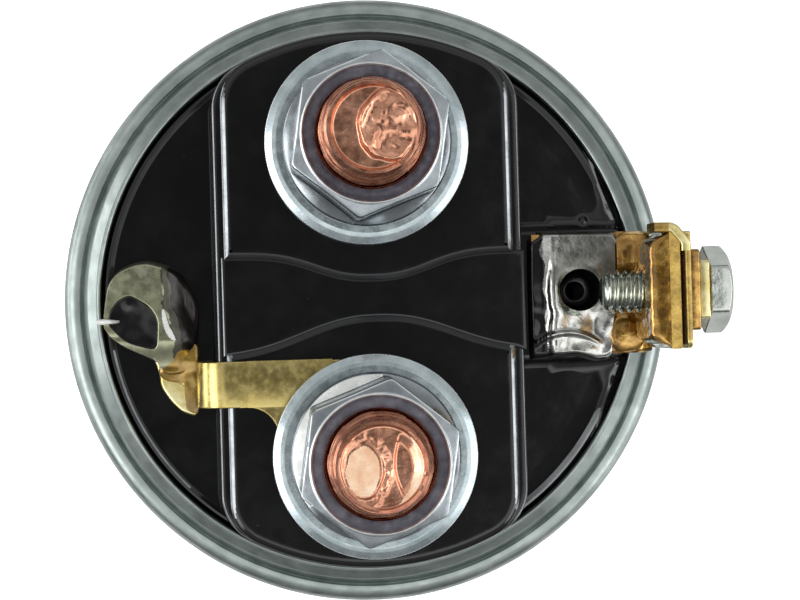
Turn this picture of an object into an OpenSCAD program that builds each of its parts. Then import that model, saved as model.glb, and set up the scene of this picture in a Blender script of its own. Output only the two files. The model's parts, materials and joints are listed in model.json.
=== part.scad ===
// Starter solenoid relay: a drawn steel case with a two-winding coil and a sliding plunger,
// closed by a moulded cap that carries two copper contact studs and a switch terminal.
// Origin: centre of the front mounting face. +Z runs along the plunger's axis to the terminals,
// +X points to the switch terminal and +Y to the battery stud. Lengths are in millimetres.

/* [Case] */
// Outside diameter of the case
case_d = 62; // [50:0.5:80]
// Thickness of the case's side wall along the coil
case_wall = 2.6; // [1.8:0.1:4]
// Thickness of the case's side wall round the cap
case_rim_wall = 2.1; // [1.4:0.1:3]
// Thickness of the front wall, which takes the mounting bolts
case_front_t = 6; // [4:0.5:10]
// Height above the front face where the rolled rim starts
rim_z = 58; // [45:0.5:75]
// Radius of the round bead at the foot of the rolled rim
rim_bead_r = 1.5; // [0.8:0.1:2.5]
// Width of the rolled rim, from the case's outside to the rim's inner edge
rim_w = 4; // [3:0.1:6]
// Rise of the rolled rim from its bead to its top
rim_rise = 4; // [2:0.1:6]
// Thickness of the rolled rim, measured along the axis
rim_t = 1.1; // [0.6:0.1:2]
// Radius of the small round at the rolled rim's inner edge
rim_edge_r = 0.4; // [0.2:0.05:0.8]
// Width of the return spring's seat past the spring, in the front face
recess_edge = 1.4; // [0.5:0.1:3]
// Depth of the return spring's seat in the front face
front_recess_depth = 1.2; // [0.5:0.1:2]
// Diameter of the circle through the mounting holes
mount_pcd = 44; // [36:0.5:56]
// Radius of each mounting hole's core
mount_hole_r = 2.5; // [2:0.1:3.5]
// Number of mounting holes
mount_count = 3; // [2:1:4]
// Direction of the first mounting hole, in degrees from +X
mount_angle = 90; // [0:5:180]

/* [Cap] */
// Thickness of the sealing ring under the cap
gasket_t = 1; // [0.5:0.1:2]
// Thickness of the cap's skirt round the contact chamber
skirt_t = 4.45; // [2.5:0.05:6]
// Depth of the cap below the foot of the rolled rim
cap_depth = 10; // [7:0.1:14]
// Thickness of the cap between the contact chamber and the low side areas
ceiling_t = 3.8; // [2.5:0.1:6]
// Depth of the cap's low side areas below the top of the rolled rim
side_drop = 1.2; // [0.6:0.1:2]
// Rise of the raised land above the low side areas
land_rise = 4.7; // [3:0.1:7]
// Distance from the raised land's side to the rim's inner edge
side_w = 12.3; // [9:0.1:15]
// Gap between the raised land's curved ends and the rim's inner edge
land_end_gap = 0.2; // [0.1:0.1:1]
// Radius of the raised land's corners
land_corner_r = 5; // [2:0.5:8]
// Width of the round seat left free round each washer
seat_margin = 4.1; // [2:0.1:5]
// Half height of the shallow band across the middle of the land
band_half = 4.7; // [2:0.1:7]
// Depth of the shallow band
band_depth = 0.5; // [0.2:0.1:1.5]
// Gap between the switch terminal's bracket and the top of the rolled rim
bracket_rise = 1.4; // [0.8:0.1:3]
// Width of the pad's border on each side of the switch terminal's bracket
pad_margin = 0.5; // [0.2:0.1:1.5]
// Distance from the pad's outer edge to the rim's inner edge
pad_inset = 0.9; // [0.4:0.1:3]
// Radius of the two holes that let the coil's leads out
lead_hole_r = 2; // [1:0.1:3]
// Gap between the contact rod's clip and the pocket in the cap's ceiling
pocket_gap = 0.5; // [0.3:0.1:1.5]
// Depth of the pocket that takes the contact return spring
pocket_depth = 4.2; // [2:0.1:6]

/* [Studs and nuts] */
// Thread diameter of the two contact studs
stud_d = 10; // [8:0.5:12]
// Gap between each stud's head and the wall of the contact chamber
head_wall_gap = 0.9; // [0.4:0.1:3]
// Width of the contact head's edge round the stud
stud_head_w = 3; // [2:0.1:4]
// Thickness of each stud's contact head
stud_head_t = 4; // [2:0.1:6]
// Extra width of the square neck over the stud's diameter
stud_neck_extra = 0.4; // [0.2:0.1:1]
// Height of the square neck
stud_neck_h = 2.6; // [1:0.1:4]
// Length of the battery stud past its nut
battery_tip = 5.5; // [3:0.1:12]
// Length of the motor stud past its nut
motor_tip = 3.5; // [2:0.1:12]
// Size of the bevel on each stud's tip
stud_bevel = 0.9; // [0.3:0.1:2]
// Width of the plain washers' ring round the stud
washer_w = 5.1; // [3:0.1:7]
// Thickness of the plain washers
washer_t = 1.8; // [1:0.1:3]
// Size of the bevel on the washers' upper edge
washer_bevel = 0.5; // [0.2:0.05:1]
// Width across the flats of the stud nuts
nut_af = 14; // [12:0.5:19]
// Height of the hexagon of the stud nuts
nut_h = 7.9; // [5:0.1:12]
// Width of the collar past the hexagon's corners
nut_collar_w = 0.7; // [0.2:0.1:2]
// Thickness of the collar under the hexagon
nut_collar_t = 1.3; // [0.6:0.1:2.5]
// Size of the bevel at the mouth of the nuts
nut_mouth = 0.8; // [0.3:0.1:1.5]
// Turn of the two nuts, in degrees from +X
nut_turn = 21; // [0:1:59]

/* [Motor strap] */
// Thickness of the brass strap
strap_t = 0.9; // [0.5:0.1:1.5]
// Width of the strap
strap_w = 4.6; // [3:0.1:7]
// Distance of the strap's centre line below the cap's centre
strap_y = 8.1; // [5:0.1:12]
// Width of the washer's edge that stands past the strap's ring
strap_ring_inset = 0.5; // [0.2:0.1:2]
// Radius of the fillet between the strap and its ring
strap_fillet_r = 3; // [1:0.1:5]
// Distance from the raised land's side to the strap's bend
strap_reach = 2.8; // [2.2:0.1:4]
// Outer radius of the strap's bend
strap_bend_r = 2; // [1.2:0.1:2.5]
// Radius of the solder lug at the strap's end
lug_r = 5; // [3:0.1:6]
// Distance from the lug's centre to the rim's inner edge
lug_inset = 4.6; // [3:0.1:8]
// Distance of the lug's centre below the cap's centre
lug_y = 0.6; // [0:0.1:3]
// Distance from the motor lead's hole to the lug's centre
lead_hole_shift = 1.45; // [0:0.05:2]
// Distance of the motor lead's hole below the cap's centre
motor_lead_y = 1.6; // [0:0.1:3]
// Gap between the lug and the rim's inner edge
lug_gap = 0.4; // [0.2:0.1:2]
// Width of the lug past the strap's foot
foot_inset = 0.9; // [0.3:0.1:2]
// Width of the strap's foot below the strap's lower edge
foot_drop = 0.6; // [0.2:0.1:2]
// Radius of the foot's round corner
foot_corner_r = 3.2; // [1:0.1:5]
// Width of the neck that joins the foot to the lug
neck_w = 3.9; // [2:0.1:6]
// Height of the solder on the strap's lug
strap_solder_h = 1.8; // [0.8:0.1:3]
// Radius of the motor lead's wire
lead_r = 0.6; // [0.3:0.05:1]
// Length of the motor lead past the rim's inner edge
lead_tip_len = 0.2; // [0:0.1:1]

/* [Switch terminal] */
// Thickness of the switch terminal's bracket
bracket_t = 1; // [0.6:0.1:2]
// Width of the bracket's base
bracket_w = 12.2; // [8:0.1:16]
// Width of the bracket's base past the upright tab on each side
tab_inset = 0.5; // [0.2:0.1:2]
// Distance from the raised land's side to the bracket's inner edge
bracket_land_gap = 1.6; // [1:0.1:3]
// Distance from the case's outside to the inner face of the upright tab
tab_case_inset = 3; // [1:0.1:5]
// Height of the upright tab above the base
tab_h = 11.6; // [8:0.1:16]
// Outer radius of the bend between the base and the upright tab
tab_bend_r = 1.8; // [1.2:0.1:3]
// Height of the switch screw's axis above the bracket's base
screw_rise = 6; // [5:0.1:8]
// Length of the threaded collar on the tab's inner face
collar_len = 1.5; // [0.5:0.1:3]
// Wall of the threaded collar round the screw
collar_wall = 1.2; // [0.6:0.1:2.5]
// Radius of the switch screw's shank
screw_r = 2.1; // [1.5:0.05:3]
// Width across the flats of the switch screw's head
screw_af = 7.5; // [5:0.1:10]
// Thickness of the switch screw's head
screw_head_t = 3.3; // [2:0.1:5]
// Length of the switch screw past the upright tab's inner face
screw_reach = 5.7; // [3:0.1:8]
// Thickness of the clamp plate
clamp_t = 1; // [0.6:0.1:2]
// Height of the clamp plate
clamp_h = 11.7; // [8:0.1:15]
// Length of the ear bent over the tab's edge
ear_len = 2.6; // [1:0.1:4]
// Thickness of the ear
ear_t = 0.8; // [0.4:0.1:1.5]
// Height of the ear
ear_h = 3.8; // [2:0.1:6]
// Extra width of the square washer over the screw's head
square_extra = 0.3; // [0.1:0.1:2]
// Thickness of the square washer
square_t = 1.2; // [0.6:0.1:2]
// Distance from the switch lead's hole to the bracket's inner edge
switch_hole_inset = 4.9; // [3.5:0.1:6]
// Height of the solder pool on the bracket
pool_h = 0.5; // [0.2:0.1:1]
// Width of the solder pool along X
pool_w = 8.2; // [5:0.1:11]
// Width of the solder's ring round the switch lead's hole
pool_ring_w = 2; // [1:0.1:3]
// Height of the solder's ring round the switch lead's hole
pool_ring_h = 1.2; // [0.6:0.1:2]

/* [Coil] */
// Thickness of the brass guide tube
tube_t = 0.6; // [0.3:0.1:1.5]
// Distance from the guide tube's rear end to the pole plate
tube_end_gap = 2.5; // [2:0.1:8]
// Thickness of the bobbin's tube
bobbin_t = 1; // [0.5:0.1:2]
// Thickness of the bobbin's flanges
bobbin_flange_t = 1.5; // [0.8:0.1:3]
// Share of the winding space's depth that the pull-in winding takes
pull_in_share = 0.57; // [0.4:0.01:0.7]
// Gap between the windings' wrap and the case
wrap_gap = 2.35; // [1:0.05:4]
// Thickness of the paper wrap round the windings
wrap_t = 0.4; // [0.2:0.1:1]
// Thickness of the pole plate
plate_t = 4; // [3:0.1:6]
// Length of the fixed core in front of the pole plate
core_len = 15.1; // [10:0.1:20]
// Gap between the contact set's bush and the well in the core
well_gap = 0.8; // [0.4:0.1:2]
// Depth of the well in the core that holds the contact spring
core_well_depth = 10.5; // [8:0.1:14]

/* [Plunger] */
// Radius of the plunger
plunger_r = 12; // [9:0.1:15]
// Radial running clearance of the plunger in its guide tube
plunger_clearance = 0.08; // [0.02:0.01:0.1]
// Distance that the plunger reaches in front of the mounting face
plunger_front = 24; // [16:0.5:34]
// Gap between the plunger and the fixed core at rest
air_gap = 11.2; // [8:0.1:14]
// Thickness of the plunger's rear wall
plunger_rear_t = 4.7; // [3:0.1:8]
// Thickness of the plunger's side wall
plunger_wall = 3.8; // [2.5:0.1:5]
// Width of the spring seat past the return spring
seat_edge = 1.2; // [0.5:0.1:3]
// Thickness of the spring seat
seat_t = 1.2; // [0.8:0.1:2]
// Distance from the plunger's front end to its retaining ring
ring_inset = 1.3; // [0.8:0.1:3]
// Thickness of the retaining ring
ring_t = 1.2; // [0.8:0.1:2]
// Depth of the retaining ring's groove in the plunger
ring_groove = 0.9; // [0.5:0.1:1.5]
// Width of the retaining ring outside the plunger
ring_w = 1.6; // [1:0.1:2.5]
// Width of the retaining ring's gap
ring_gap = 6; // [3:0.5:9]
// Thickness of the plug that closes the plunger's bore
plug_t = 2.5; // [1.5:0.1:4]
// Distance from the plunger's front end to its plug
plug_inset = 0.8; // [0:0.1:2]
// Wire diameter of the return spring
return_wire_d = 1.6; // [1:0.1:2]
// Gap between the return spring and the plunger
return_gap = 1.4; // [1:0.1:3]
// Number of curls of the return spring
return_curls = 5; // [3:1:8]

/* [Pull rod] */
// Radius of the pull rod's shank
rod_r = 4; // [3:0.1:5]
// Gap between the pull rod's head and the plunger's bore
rod_head_gap = 0.6; // [0.3:0.1:1.5]
// Thickness of the pull rod's head
rod_head_t = 3; // [2:0.1:5]
// Distance from the plunger's front end to the eye's centre
eye_reach = 17; // [12:0.5:30]
// Thickness of the eye's wall round its bore
eye_wall = 2.9; // [2:0.1:5]
// Thickness of the eye
eye_t = 6; // [4:0.1:9]
// Radius of the eye's bore
eye_bore_r = 4.1; // [2.5:0.1:5]
// Wire diameter of the meshing spring
mesh_wire_d = 1.6; // [0.8:0.1:2]
// Gap between the meshing spring and the pull rod
mesh_gap = 1.2; // [0.9:0.1:1.6]
// Number of curls of the meshing spring
mesh_curls = 9; // [4:1:14]

/* [Contact set] */
// Radius of the contact rod's front part
contact_rod_r = 2.5; // [1.5:0.1:3.5]
// Radial running clearance of the contact rod in the core
contact_rod_clearance = 0.06; // [0.02:0.01:0.1]
// Length of the contact rod in front of the fixed core at rest
contact_rod_reach = 3.7; // [2:0.1:6]
// Width of the contact rod's shoulder past the contact spring
shoulder_edge = 0.95; // [0.4:0.05:2]
// Thickness of the contact rod's shoulder
shoulder_t = 1.45; // [0.8:0.05:2.5]
// Radius of the contact rod's stem
stem_r = 2; // [1.2:0.1:2.5]
// Length of the stem past its retaining clip
stem_tail = 1.6; // [0.5:0.1:3]
// Gap between the contact disc and the stud heads at rest
contact_gap = 2.74; // [1.5:0.01:4]
// Width of the contact disc past the studs' centres
disc_overlap = 1.5; // [0.5:0.1:4]
// Thickness of the contact disc
disc_t = 2.2; // [1:0.1:4]
// Wall of the insulating bush in the disc
bush_wall = 1.34; // [0.8:0.02:2.5]
// Width of the insulating bush's flange past the contact rod's shoulder
bush_edge = 0.2; // [0:0.1:1]
// Thickness of the insulating bush's flange
bush_flange_t = 1.4; // [0.8:0.1:2.5]
// Width of the insulating washer past the bush
insulator_edge = 1.5; // [0.8:0.1:3]
// Thickness of the insulating washer on the disc
insulator_t = 1; // [0.5:0.1:2]
// Thickness of the clip on the contact rod
clip_t = 0.7; // [0.4:0.1:1.2]
// Width of the contact rod's clip past the contact return spring
clip_edge = 0.4; // [0.2:0.1:1.5]
// Depth of the clip's groove in the stem
clip_groove = 0.4; // [0.2:0.05:0.8]
// Wire diameter of the contact spring
contact_wire_d = 0.9; // [0.5:0.1:1.5]
// Gap between the contact spring and the contact rod's stem
contact_spring_gap = 1.15; // [0.8:0.05:2]
// Number of curls of the contact spring
contact_curls = 5; // [3:1:8]
// Wire diameter of the contact return spring
opening_wire_d = 0.6; // [0.4:0.1:1]
// Gap between the contact return spring and the contact rod's stem
opening_spring_gap = 0.9; // [0.6:0.1:1.5]
// Number of curls of the contact return spring
opening_curls = 5; // [3:1:8]

/* [Clearances] */
// Gap between pieces that sit in or on one another without moving
seat_gap = 0.05; // [0.02:0.01:0.1]
// Gap between a screw and what it passes through loosely
loose_gap = 0.2; // [0.1:0.05:0.5]
// Gap between the cap and the rolled rim's inner edge
rim_gap = 0.15; // [0.05:0.05:0.4]
// Least gap kept between the curls at a spring's closed ends
curl_gap = 0.5; // [0.42:0.02:1]

/* [Hidden] */
case_r = case_d / 2;
case_inner_r = case_r - case_wall;
rim_inner_wall_r = case_r - case_rim_wall;
rim_inner_r = case_r - rim_w;
rim_top_z = rim_z + rim_rise;
cap_r = rim_inner_wall_r - seat_gap;
cap_bottom_z = rim_z - cap_depth;
cap_shoulder_z = rim_z + rim_edge_r;
cap_side_z = rim_top_z - side_drop;
chamber_r = cap_r - skirt_t;
chamber_top_z = cap_side_z - ceiling_t;
land_z = cap_side_z + land_rise;
land_w = 2 * (rim_inner_r - side_w);
land_end_r = rim_inner_r - land_end_gap;
pad_z = rim_top_z + bracket_rise;
pad_outer_x = rim_inner_r - pad_inset;
pad_w = bracket_w + 2 * pad_margin;

plate_top_z = cap_bottom_z - gasket_t;
plate_z = plate_top_z - plate_t;
plate_r = rim_inner_wall_r - seat_gap;
core_z = plate_z - core_len;
core_well_z = plate_top_z - core_well_depth;
tube_inner_r = plunger_r + plunger_clearance;
tube_outer_r = tube_inner_r + tube_t;
tube_end_z = plate_z - tube_end_gap;
bobbin_bore_r = tube_outer_r + seat_gap;
bobbin_tube_r = bobbin_bore_r + bobbin_t;
bobbin_front_z = case_front_t + seat_gap;
bobbin_rear_z = plate_z - seat_gap;
winding_front_z = bobbin_front_z + bobbin_flange_t + seat_gap;
winding_rear_z = bobbin_rear_z - bobbin_flange_t - seat_gap;
winding_len = winding_rear_z - winding_front_z;
hold_in_r = case_inner_r - wrap_gap - wrap_t - seat_gap;
pull_in_r = bobbin_tube_r + pull_in_share * (hold_in_r - bobbin_tube_r);
lead_start_z = winding_rear_z + bobbin_flange_t + 2 * seat_gap;

stud_r = stud_d / 2;
stud_head_r = stud_r + stud_head_w;
stud_neck_w = stud_d + stud_neck_extra;
stud_y = chamber_r - head_wall_gap - stud_head_r;
stud_head_z = chamber_top_z - stud_head_t;
washer_r = stud_r + washer_w;
stud_seat_r = washer_r + seat_margin;
nut_collar_r = nut_af / sqrt(3) + nut_collar_w;
nut_mouth_r = stud_r + nut_mouth;
battery_washer_z = land_z;
motor_washer_z = land_z + strap_t;
battery_nut_z = battery_washer_z + washer_t;
motor_nut_z = motor_washer_z + washer_t;
battery_top_z = battery_nut_z + nut_collar_t + nut_h + battery_tip;
motor_top_z = motor_nut_z + nut_collar_t + nut_h + motor_tip;

strap_low_y = strap_y + strap_w / 2;
strap_high_y = strap_y - strap_w / 2;
strap_ring_r = washer_r - strap_ring_inset;
strap_bend_x = land_w / 2 + strap_reach;
foot_z = cap_side_z;
foot_low_y = strap_low_y + foot_drop;
lug_x = rim_inner_r - lug_inset;
lug_limit_r = rim_inner_r - lug_gap;
foot_outer_x = lug_x - foot_inset;
motor_lead_x = lug_x + lead_hole_shift;
motor_rise_x = motor_lead_x - lead_hole_r + 2 * lead_r;
lead_tip_x = rim_inner_r + lead_tip_len;

bracket_z = pad_z;
bracket_top_z = bracket_z + bracket_t;
bracket_inner_x = land_w / 2 + bracket_land_gap;
switch_lead_x = bracket_inner_x + switch_hole_inset;
switch_rise_x = switch_lead_x - lead_hole_r + lead_r + seat_gap;
pool_ring_r = lead_hole_r + pool_ring_w;
tab_w = bracket_w - 2 * tab_inset;
tab_x = case_r - tab_case_inset;
tab_outer_x = tab_x + bracket_t;
screw_z = bracket_top_z + screw_rise;
collar_r = screw_r + collar_wall;
screw_end_x = tab_x - screw_reach;
square_w = screw_af + square_extra;
clamp_x = tab_outer_x + seat_gap;
square_x = clamp_x + clamp_t + seat_gap;
head_x = square_x + square_t + seat_gap;

plunger_rear_z = core_z - air_gap;
plunger_bore_r = plunger_r - plunger_wall;
ring_z = ring_inset - plunger_front;
ring_r = plunger_r + ring_w;
seat_z = ring_z + ring_t + seat_gap;
return_mean_r = plunger_r + return_gap + return_wire_d / 2;
return_spring_z = seat_z + seat_t;
seat_r = return_mean_r + return_wire_d / 2 + seat_edge;
front_recess_r = return_mean_r + return_wire_d / 2 + recess_edge;
plug_z = plug_inset - plunger_front;
rod_head_r = plunger_bore_r - rod_head_gap;
rod_head_z = plunger_rear_z - plunger_rear_t - rod_head_t - seat_gap;
mesh_mean_r = rod_r + mesh_gap + mesh_wire_d / 2;
eye_z = -plunger_front - eye_reach;
eye_r = eye_bore_r + eye_wall;

contact_rod_z = core_z - contact_rod_reach;
contact_mean_r = stem_r + contact_spring_gap + contact_wire_d / 2;
shoulder_r = contact_mean_r + contact_wire_d / 2 + shoulder_edge;
shoulder_z = core_well_z + seat_gap;
contact_spring_z = shoulder_z + shoulder_t;
disc_r = stud_y + disc_overlap;
disc_z = stud_head_z - contact_gap - disc_t;
bush_bore_r = stem_r + contact_rod_clearance;
bush_r = bush_bore_r + bush_wall;
bush_flange_r = shoulder_r + bush_edge;
bush_z = disc_z - bush_flange_t - seat_gap;
core_well_r = bush_flange_r + well_gap;
insulator_r = bush_r + insulator_edge;
insulator_z = disc_z + disc_t + seat_gap;
clip_z = insulator_z + insulator_t + seat_gap;
opening_mean_r = stem_r + opening_spring_gap + opening_wire_d / 2;
clip_r = opening_mean_r + opening_wire_d / 2 + clip_edge;
pocket_r = clip_r + pocket_gap;
pocket_top_z = chamber_top_z + pocket_depth;
opening_spring_z = clip_z + clip_t;
stem_top_z = opening_spring_z + stem_tail;
cut = case_d;

ring_sides = 6;
rings_per_curl = 8;

steel = [0.72, 0.74, 0.74];
zinc = [0.80, 0.83, 0.86];
iron = [0.45, 0.46, 0.48];
black = [0.06, 0.06, 0.07];
copper = [0.78, 0.45, 0.32];
brass = [0.80, 0.66, 0.30];
solder = [0.62, 0.62, 0.60];
wire = [0.60, 0.28, 0.14];
paper = [0.72, 0.62, 0.42];
nylon = [0.85, 0.82, 0.72];
rubber = [0.12, 0.12, 0.12];

// Round bar from z to z + h, with a bore when inner_r is above 0
module pipe(outer_r, inner_r, z, h) {
  translate([0, 0, z])
    difference() {
      cylinder(r = outer_r, h = h);
      if (inner_r > 0)
        translate([0, 0, -cut]) cylinder(r = inner_r, h = 2 * cut);
    }
}

// Hexagonal prism of a given width across flats, with corners on the X axis
module hexagon(across_flats, h) {
  cylinder(r = across_flats / sqrt(3), h = h, $fn = 6);
}

// Height of a spring's centre line after a share of its length: closed curls at both ends
function spring_height(turn, curls, free_h, end_pitch) =
  turn <= 1 ? turn * end_pitch
  : turn >= curls - 1 ? free_h - (curls - turn) * end_pitch
  : end_pitch + (turn - 1) / (curls - 2) * (free_h - 2 * end_pitch);

// Points on the centre line of a spring
function spring_path(mean_r, wire_d, length, curls) = [
  for (i = [0 : curls * rings_per_curl])
    let (turn = i / rings_per_curl, angle = 360 * turn)
      [mean_r * cos(angle), mean_r * sin(angle),
       wire_d / 2 + spring_height(turn, curls, length - wire_d, wire_d + curl_gap)]
];

// Least distance between points over half a curl apart, less the wire
function spring_gap(path, wire_d) = min([
  for (i = [0 : len(path) - 1])
    for (j = [i + 5 : 1 : len(path) - 1]) norm(path[j] - path[i])
]) - wire_d;

// Compression spring standing on z, made of one unbroken six-sided wire
module coil_spring(mean_r, wire_d, z, length, curls) {
  path = spring_path(mean_r, wire_d, length, curls);
  echo(least_gap = spring_gap(path, wire_d));
  last = len(path) - 1;
  points = [
    for (i = [0 : last])
      for (k = [0 : ring_sides - 1])
        let (angle = 360 * i / rings_per_curl, side = 360 * k / ring_sides)
          [(mean_r + wire_d / 2 * cos(side)) * cos(angle),
           (mean_r + wire_d / 2 * cos(side)) * sin(angle),
           path[i][2] + wire_d / 2 * sin(side)]
  ];
  sides = [
    for (i = [0 : last - 1])
      for (k = [0 : ring_sides - 1])
        let (a = i * ring_sides + k,
             b = i * ring_sides + (k + 1) % ring_sides,
             c = a + ring_sides,
             d = b + ring_sides)
          each [[a, b, d], [a, d, c]]
  ];
  caps = [
    for (k = [1 : ring_sides - 2])
      each [[0, k + 1, k],
            [last * ring_sides, last * ring_sides + k, last * ring_sides + k + 1]]
  ];
  translate([0, 0, z])
    polyhedron(points = points, faces = concat(sides, caps));
}

// Half section of the case's rolled rim
module rim_section() {
  translate([case_r - rim_bead_r, rim_z]) circle(r = rim_bead_r);
  polygon([
    [rim_inner_wall_r, rim_z - rim_bead_r],
    [case_r - rim_bead_r, rim_z - rim_bead_r],
    [case_r - rim_bead_r, rim_z + rim_bead_r],
    [rim_inner_r + rim_edge_r, rim_top_z],
    [rim_inner_r, rim_top_z - rim_edge_r],
    [rim_inner_r, rim_top_z - rim_t],
    [rim_inner_wall_r, cap_shoulder_z + rim_edge_r]
  ]);
}

module solenoid_case() {
  color(steel)
    difference() {
      union() {
        cylinder(r = case_r, h = case_front_t);
        pipe(case_r, case_inner_r, 0, plate_z);
        pipe(case_r, rim_inner_wall_r, plate_z, rim_z - plate_z);
        rotate_extrude()
          difference() {
            rim_section();
            polygon([
              [0, rim_z - cut],
              [rim_inner_wall_r, rim_z - cut],
              [rim_inner_wall_r, cap_shoulder_z + rim_edge_r],
              [rim_inner_r, rim_top_z - rim_t],
              [0, rim_top_z - rim_t]
            ]);
          }
      }
      translate([0, 0, -cut]) cylinder(r = tube_outer_r + seat_gap, h = 2 * cut);
      translate([0, 0, front_recess_depth - cut]) cylinder(r = front_recess_r, h = cut);
      for (i = [0 : mount_count - 1])
        rotate([0, 0, mount_angle + 360 * i / mount_count])
          translate([mount_pcd / 2, 0, -cut])
            cylinder(r = mount_hole_r, h = 2 * cut);
    }
}

// Outline of the raised land: straight sides, curved ends and round corners
module land_outline() {
  side_x = land_w / 2 - land_corner_r;
  corner_y = sqrt(pow(land_end_r - land_corner_r, 2) - pow(side_x, 2));
  square([land_w, 2 * corner_y], center = true);
  intersection() {
    circle(r = land_end_r);
    union()
      for (s = [-1, 1])
        polygon([[0, 0], [2 * side_x, s * 2 * corner_y], [-2 * side_x, s * 2 * corner_y]]);
  }
  for (x = [-side_x, side_x])
    for (y = [-corner_y, corner_y])
      translate([x, y]) circle(r = land_corner_r);
}

// Shallow band across the middle of the land, between the two round stud seats
module band_outline() {
  difference() {
    square([2 * land_w, 2 * band_half], center = true);
    for (y = [-stud_y, stud_y])
      translate([0, y]) circle(r = stud_seat_r);
  }
}

// Holes that both leads pass on their way up from the coil
module lead_holes() {
  translate([switch_lead_x, 0, 0]) cylinder(r = lead_hole_r, h = 2 * cut);
  translate([-motor_rise_x, -motor_lead_y, 0]) cylinder(r = lead_hole_r, h = 2 * cut);
}

module terminal_cap() {
  color(black)
    difference() {
      union() {
        rotate_extrude()
          polygon([
            [0, cap_bottom_z],
            [cap_r, cap_bottom_z],
            [cap_r, cap_shoulder_z],
            [rim_inner_r - rim_gap, cap_side_z - seat_gap],
            [rim_inner_r - rim_gap, cap_side_z],
            [0, cap_side_z]
          ]);
        translate([0, 0, cap_side_z])
          linear_extrude(height = land_z - cap_side_z) land_outline();
        translate([0, -pad_w / 2, cap_side_z])
          cube([pad_outer_x, pad_w, pad_z - cap_side_z]);
      }
      translate([0, 0, chamber_top_z - cut]) cylinder(r = chamber_r, h = cut);
      translate([0, 0, land_z - band_depth])
        linear_extrude(height = cut) band_outline();
      translate([0, 0, pocket_top_z - cut]) cylinder(r = pocket_r, h = cut);
      for (y = [-stud_y, stud_y])
        translate([0, y, 0]) {
          cylinder(r = stud_r + seat_gap, h = 2 * cut);
          translate([0, 0, chamber_top_z + stud_neck_h / 2])
            cube([stud_neck_w + 2 * seat_gap, stud_neck_w + 2 * seat_gap,
                  stud_neck_h + 2 * seat_gap], center = true);
        }
      translate([switch_lead_x, 0, 0]) cylinder(r = lead_hole_r, h = 2 * cut);
      translate([-motor_lead_x, -motor_lead_y, chamber_top_z - seat_gap])
        cylinder(r = lead_hole_r, h = cut);
    }
}

module cap_gasket() {
  color(rubber)
    difference() {
      pipe(cap_r - seat_gap, chamber_r, plate_top_z, gasket_t);
      lead_holes();
    }
}

// Contact stud that hangs on its head in the contact chamber and ends at top_z
module stud(top_z) {
  translate([0, 0, stud_head_z]) cylinder(r = stud_head_r, h = stud_head_t);
  translate([0, 0, chamber_top_z + stud_neck_h / 2])
    cube([stud_neck_w, stud_neck_w, stud_neck_h], center = true);
  rotate_extrude()
    polygon([
      [0, chamber_top_z - stud_head_t / 2],
      [stud_r, chamber_top_z - stud_head_t / 2],
      [stud_r, top_z - stud_bevel],
      [stud_r - stud_bevel, top_z],
      [0, top_z]
    ]);
}

module battery_stud() {
  color(copper) translate([0, stud_y, 0]) stud(battery_top_z);
}

module motor_stud() {
  color(copper) translate([0, -stud_y, 0]) stud(motor_top_z);
}

// Plain washer with a bevelled upper edge, standing on z
module plain_washer(z) {
  translate([0, 0, z])
    rotate_extrude()
      polygon([
        [stud_r + loose_gap, 0],
        [washer_r, 0],
        [washer_r, washer_t - washer_bevel],
        [washer_r - washer_bevel, washer_t],
        [stud_r + loose_gap, washer_t]
      ]);
}

module battery_washer() {
  color(zinc) translate([0, stud_y, 0]) plain_washer(battery_washer_z);
}

module motor_washer() {
  color(zinc) translate([0, -stud_y, 0]) plain_washer(motor_washer_z);
}

// Hexagon nut with a round collar, standing on z
module collar_nut(z) {
  top = nut_collar_t + nut_h;
  corner_r = nut_af / sqrt(3);
  translate([0, 0, z])
    difference() {
      union() {
        cylinder(r = nut_collar_r, h = nut_collar_t);
        intersection() {
          hexagon(nut_af, top);
          rotate_extrude()
            polygon([
              [0, 0],
              [corner_r, 0],
              [corner_r, top - (corner_r - nut_af / 2) / 2],
              [nut_af / 2, top],
              [0, top]
            ]);
        }
      }
      translate([0, 0, -cut]) cylinder(r = stud_r + seat_gap, h = 2 * cut);
      rotate_extrude()
        polygon([
          [0, top - nut_mouth_r + stud_r],
          [stud_r, top - nut_mouth_r + stud_r],
          [nut_mouth_r, top],
          [nut_mouth_r, top + seat_gap],
          [0, top + seat_gap]
        ]);
    }
}

module battery_nut() {
  color(zinc) translate([0, stud_y, 0]) rotate([0, 0, nut_turn])
    collar_nut(battery_nut_z);
}

module motor_nut() {
  color(zinc) translate([0, -stud_y, 0]) rotate([0, 0, nut_turn])
    collar_nut(motor_nut_z);
}

// Quarter bend in sheet metal, w wide along Y, with its outer corner towards -X and +Z
module sheet_bend(outer_r, t, w) {
  rotate([90, 0, 0])
    intersection() {
      difference() {
        cylinder(r = outer_r, h = w, center = true);
        cylinder(r = outer_r - t, h = cut, center = true);
      }
      translate([-outer_r, 0, -w]) cube([outer_r, outer_r, 2 * w]);
    }
}

// Outline of the strap's ring and arm on the land, with a fillet where they meet
module strap_arm_outline() {
  reach = strap_ring_r + strap_fillet_r;
  drop = stud_y - strap_low_y - strap_fillet_r;
  fillet_x = sqrt(pow(reach, 2) - pow(drop, 2));
  difference() {
    union() {
      translate([0, -stud_y]) circle(r = strap_ring_r);
      translate([-strap_bend_x + strap_bend_r, -strap_low_y])
        square([strap_bend_x - strap_bend_r, strap_w]);
      polygon([
        [-fillet_x, -strap_low_y],
        [-fillet_x, -strap_low_y - strap_fillet_r],
        [0, -stud_y],
        [0, -strap_low_y]
      ]);
    }
    translate([-fillet_x, -strap_low_y - strap_fillet_r]) circle(r = strap_fillet_r);
    translate([0, -stud_y]) circle(r = stud_r + loose_gap);
  }
}

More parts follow.
